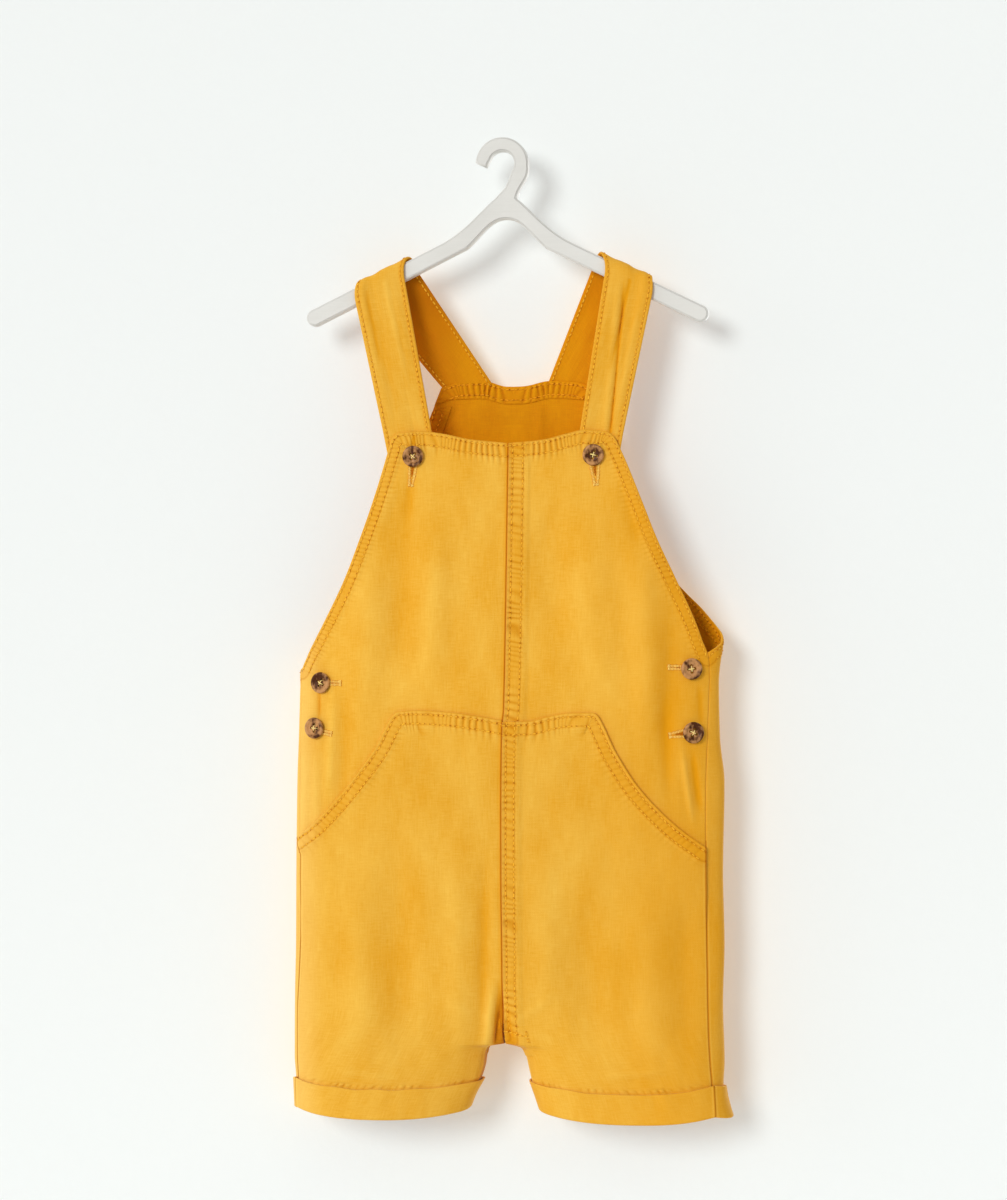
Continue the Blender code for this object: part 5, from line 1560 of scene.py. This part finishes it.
# --------------------------------------------------------------------------------------------------
# The buttons. Six four-hole buttons turned from brown horn, each sewn on with the mustard thread in a cross.
# The bib's are sewn to the straps behind it, and the others to the underlaps.
# --------------------------------------------------------------------------------------------------
ButtonRow = namedtuple("ButtonRow", "name side x level turned")
BUTTONS = (
    ButtonRow("button_bib_left", "left", -57.0, -201.4, 8),
    ButtonRow("button_bib_right", "right", 62.0, -201.0, 30),
    ButtonRow("button_side_left_upper", "left", -118.6, -350.4, 12),
    ButtonRow("button_side_left_lower", "left", -122.8, -380.4, 40),
    ButtonRow("button_side_right_upper", "right", 125.8, -340.6, 52),
    ButtonRow("button_side_right_lower", "right", 127.0, -382.0, 20),
)
BUTTON_RADIUS = 7.0
TurnedRow = namedtuple("TurnedRow", "radius height")
BUTTON_PROFILE = (
    TurnedRow(0.0, 1.6),
    TurnedRow(3.2, 1.6),
    TurnedRow(3.9, 1.75),
    TurnedRow(4.6, 2.3),
    TurnedRow(5.1, 2.68),
    TurnedRow(5.6, 2.84),
    TurnedRow(6.2, 2.78),
    TurnedRow(6.7, 2.45),
    TurnedRow(BUTTON_RADIUS, 1.8),
    TurnedRow(6.85, 1.2),
    TurnedRow(6.3, 0.5),
    TurnedRow(5.6, 0.08),
    TurnedRow(5.0, 0.0),
    TurnedRow(0.0, 0.0),
)
HOLE_WIDTH, HOLE_SPACING = 2.1, 3.0
BUTTON_SHANK = 0.35  # how far its thread lets it stand off the cloth


def horn_finish():
    """Polished brown horn: tan and dark brown run into each other in streaks and clouds, softly glossy."""
    material, w = new_finish("brown horn")
    place = w.spot()
    clouds = w.noise(place, (0.006, 0.006, 0.006), 3.0)
    streaks = w.noise(place, (0.0016, 0.009, 0.004), 3.0)
    fine = w.noise(place, (0.0005, 0.0005, 0.0005))
    share = w.clamp(clouds * 5.5 + streaks * 2.0 + fine * 0.3 + 0.45)
    colour = w.blend(share, (0.55, 0.27, 0.10, 1), (0.075, 0.02, 0.004, 1))
    bump = w.bump(streaks * 0.06 + fine * 0.04)
    surface(w, Base_Color=colour, Roughness=0.4 + streaks * 0.2, Specular_IOR_Level=0.16, Normal=bump)
    return material


def turned_disc():
    """The button with its holes, in metres, facing +Z with the middle of its back on the origin."""
    profile = bpy.data.meshes.new("button profile")
    points = [(row.radius * MM, 0, row.height * MM) for row in BUTTON_PROFILE]
    profile.from_pydata(points, [(i, i + 1) for i in range(len(points) - 1)], [])
    disc = set_out("button blank", profile)
    turning = disc.modifiers.new("turned", "SCREW")
    turning.steps = turning.render_steps = 56
    turning.use_merge_vertices = True
    turning.merge_threshold = 0.01 * MM
    turning.use_normal_calculate = True
    drills = bmesh.new()
    drill = {"cap_ends": True, "segments": 18, "depth": 8 * MM}
    drill.update(radius1=HOLE_WIDTH / 2 * MM, radius2=HOLE_WIDTH / 2 * MM)
    for x, y in ((-1, -1), (-1, 1), (1, -1), (1, 1)):
        at = Vector((x * HOLE_SPACING / 2, y * HOLE_SPACING / 2, 1.0)) * MM
        bmesh.ops.create_cone(drills, matrix=Matrix.Translation(at), **drill)
    holes = bpy.data.meshes.new("holes")
    drills.to_mesh(holes)
    drills.free()
    cutter = set_out("holes", holes)
    drilled = disc.modifiers.new("drilled", "BOOLEAN")
    drilled.object = cutter
    made = bpy.data.meshes.new_from_object(disc.evaluated_get(bpy.context.evaluated_depsgraph_get()))
    bpy.data.objects.remove(disc)
    bpy.data.objects.remove(cutter)
    made.shade_smooth()
    made.set_sharp_from_angle(angle=math.radians(35))
    made.materials.clear()
    return made


STRANDS, THREAD_HALF, THREAD_HEIGHT = (-0.21, 0.0, 0.21), 0.13, 2.35


def sewn_cross():
    """Three strands of thread each way over the middle of the button, as tubes that dive into the holes."""
    points, faces = [], []
    sides, steps, reach = 8, 13, HOLE_SPACING / 2
    for turn, lift in ((45, 0.0), (135, 0.32)):
        spin = Matrix.Rotation(math.radians(turn), 4, "Z")
        for strand in STRANDS:
            first = len(points)
            for t in np.linspace(-1, 1, steps):
                out = reach * math.sqrt(2) * t
                height = THREAD_HEIGHT + lift - 0.55 * t * t - 1.9 * abs(t) ** 9
                for k in range(sides):
                    a = 2 * math.pi * k / sides
                    spot = Vector((out, strand + THREAD_HALF * math.cos(a), height + 0.16 * math.sin(a)))
                    points.append(spin @ (spot * MM))
            for i in range(first, first + (steps - 1) * sides, sides):
                for k in range(sides):
                    j = (k + 1) % sides
                    faces.append((i + k, i + sides + k, i + sides + j, i + j))
            faces.append(tuple(range(first, first + sides)))
            faces.append(tuple(range(len(points) - 1, len(points) - 1 - sides, -1)))
    mesh = bpy.data.meshes.new("button thread")
    mesh.from_pydata(points, [], faces)
    mesh.shade_smooth()
    return mesh


HORN = horn_finish()
PALE_THREAD = thread_finish("button thread", (0.95, 0.67, 0.26, 1), (0.62, 0.20, 0.002, 1))
disc, cross = turned_disc(), sewn_cross()
for row in BUTTONS:
    reach = BUTTON_RADIUS - 1
    near, here, far = front_y(row.side, np.array([row.x - reach, row.x, row.x + reach]), row.level)
    facing = math.atan2(far - near, 2 * reach)
    stand = GAP + BUTTON_SHANK + 0.15 * max(0.0, (near + far) / 2 - here)  # a little more on a ridge
    at = Vector((row.x + math.sin(facing) * stand, here - math.cos(facing) * stand, row.level)) * MM
    place = Matrix.Translation(at) @ Matrix.Rotation(facing, 4, "Z") @ Matrix.Rotation(math.pi / 2, 4, "X")
    place = place @ Matrix.Rotation(math.radians(row.turned), 4, "Z")
    for suffix, source, finish in (("horn", disc, HORN), ("thread", cross, PALE_THREAD)):
        mesh = source.copy()
        mesh.transform(place)
        mesh.materials.append(finish)
        piece = set_out(f"{row.name}_{suffix}", mesh)
        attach(piece, "root")
        "button" if suffix == "horn" else "twill"
        if suffix == "horn":
            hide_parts(row.name)

# --------------------------------------------------------------------------------------------------
# The stage: an off-white painted wall close behind, a pale floor, two soft lights from the left and an even
# white room. From behind, the wall lets the camera look through it, and two weak lamps light the back.
# --------------------------------------------------------------------------------------------------
VIEW_TURN = math.radians(8)
WALL_BEHIND, WALL_HALF, WALL_SIZE = 33 * MM, 1.4, 2.6  # in metres, as all of the stage
FLOOR_LEVEL, FLOOR_HALF = -0.95, 4.0
SQUARE = ((-1, -1), (1, -1), (1, 1), (-1, 1))


def plane(name, corners, finish):
    """A flat square of the stage."""
    mesh = bpy.data.meshes.new(name)
    mesh.from_pydata(corners, [], [(0, 1, 2, 3)])
    mesh.materials.append(finish)
    set_out(name, mesh)


def plaster_finish():
    """Rolled wall paint, seen from its front only and casting no shadow."""
    material, w = new_finish("wall paint")
    place = w.spot()
    rolled = w.noise(place, (0.004, 0.004, 0.004), 3.0)
    cloudy = w.noise(place, (0.3, 0.3, 0.3))
    colour = w.blend(cloudy + 0.5, (0.645, 0.70, 0.695, 1), (0.655, 0.71, 0.71, 1))
    paint = w.node("ShaderNodeBsdfDiffuse", {}, {"Color": colour, "Normal": w.bump(rolled * 0.12)})
    glow = w.node("ShaderNodeEmission", {}, {"Color": (1.10, 1.0, 0.985, 1), "Strength": 0.22})
    paint = w.node("ShaderNodeAddShader", {}, {0: paint, 1: glow})
    clear = w.node("ShaderNodeBsdfTransparent")
    behind = w.node("ShaderNodeNewGeometry").out("Backfacing")
    lit = w.node("ShaderNodeLightPath").out("Is Shadow Ray")
    through = behind.maths("MAXIMUM", behind, lit)
    mixed = w.node("ShaderNodeMixShader", {}, {0: through, 1: paint, 2: clear})
    w.node("ShaderNodeOutputMaterial", {}, {"Surface": mixed})
    return material


def floor_finish():
    """A plain floor, a little uneven in colour."""
    material, w = new_finish("pale floor")
    uneven = w.noise(w.spot(), (0.2, 0.2, 0.2), 3.0)
    colour = w.blend(uneven + 0.5, (0.80, 0.80, 0.78, 1), (0.86, 0.86, 0.84, 1))
    surface(w, Base_Color=colour, Roughness=0.7 + uneven * 0.1)
    return material


sideways = Vector((math.cos(VIEW_TURN), math.sin(VIEW_TURN), 0))
away = Vector((-math.sin(VIEW_TURN), math.cos(VIEW_TURN), 0))
wall = [(x * WALL_HALF, WALL_BEHIND, FLOOR_LEVEL + WALL_SIZE * (z + 1) / 2) for x, z in SQUARE]
plane("stage_wall", wall, plaster_finish())
floor = [(x * FLOOR_HALF, y * FLOOR_HALF, FLOOR_LEVEL) for x, y in SQUARE]
plane("stage_floor", floor, floor_finish())

LampRow = namedtuple("LampRow", "name kind across height towards strength spread")
LAMPS = (
    LampRow("key", "SUN", -1.35, 0.75, 2.3, 1.53, math.radians(22)),
    LampRow("side", "SUN", -1.0, 0.2, 0.15, 0.34, math.radians(30)),
    LampRow("rear_left", "AREA", -0.9, 0.2, -1.6, 9.0, 0.9),
    LampRow("rear_right", "AREA", 0.9, 0.2, -1.6, 9.0, 0.9),
)
target = Vector((0.0, 0.0, -0.33))
for row in LAMPS:
    light = bpy.data.lights.new(row.name, row.kind)
    light.energy = row.strength
    if row.kind == "SUN":
        light.angle = row.spread
    else:
        light.size = row.spread
    lamp = set_out(row.name, light)
    lamp.location = target + sideways * row.across - away * row.towards + Vector((0, 0, row.height))
    lamp.rotation_euler = (target - lamp.location).to_track_quat("-Z", "Y").to_euler()
    lamp.visible_camera = False
world = bpy.data.worlds.new("room")
world.use_nodes = True
world.node_tree.nodes["Background"].inputs["Color"].default_value = (1.0, 0.98, 0.945, 1)
world.node_tree.nodes["Background"].inputs["Strength"].default_value = 0.49
bpy.context.scene.world = world

DISTANCE, LENS, SENSOR = 2.2, 100.0, 36.0
camera = set_out("camera", bpy.data.cameras.new("camera"))
camera.data.lens, camera.data.sensor_width = LENS, SENSOR
camera.data.clip_start, camera.data.clip_end = 0.05, 50.0
looked_at = sideways * 0.6 * MM + Vector((0, 0, -295.8 * MM))
camera.location = looked_at - away * DISTANCE
camera.rotation_euler = (math.radians(90), 0, VIEW_TURN)
bpy.context.scene.camera = camera
bpy.context.scene.view_settings.view_transform = "Standard"
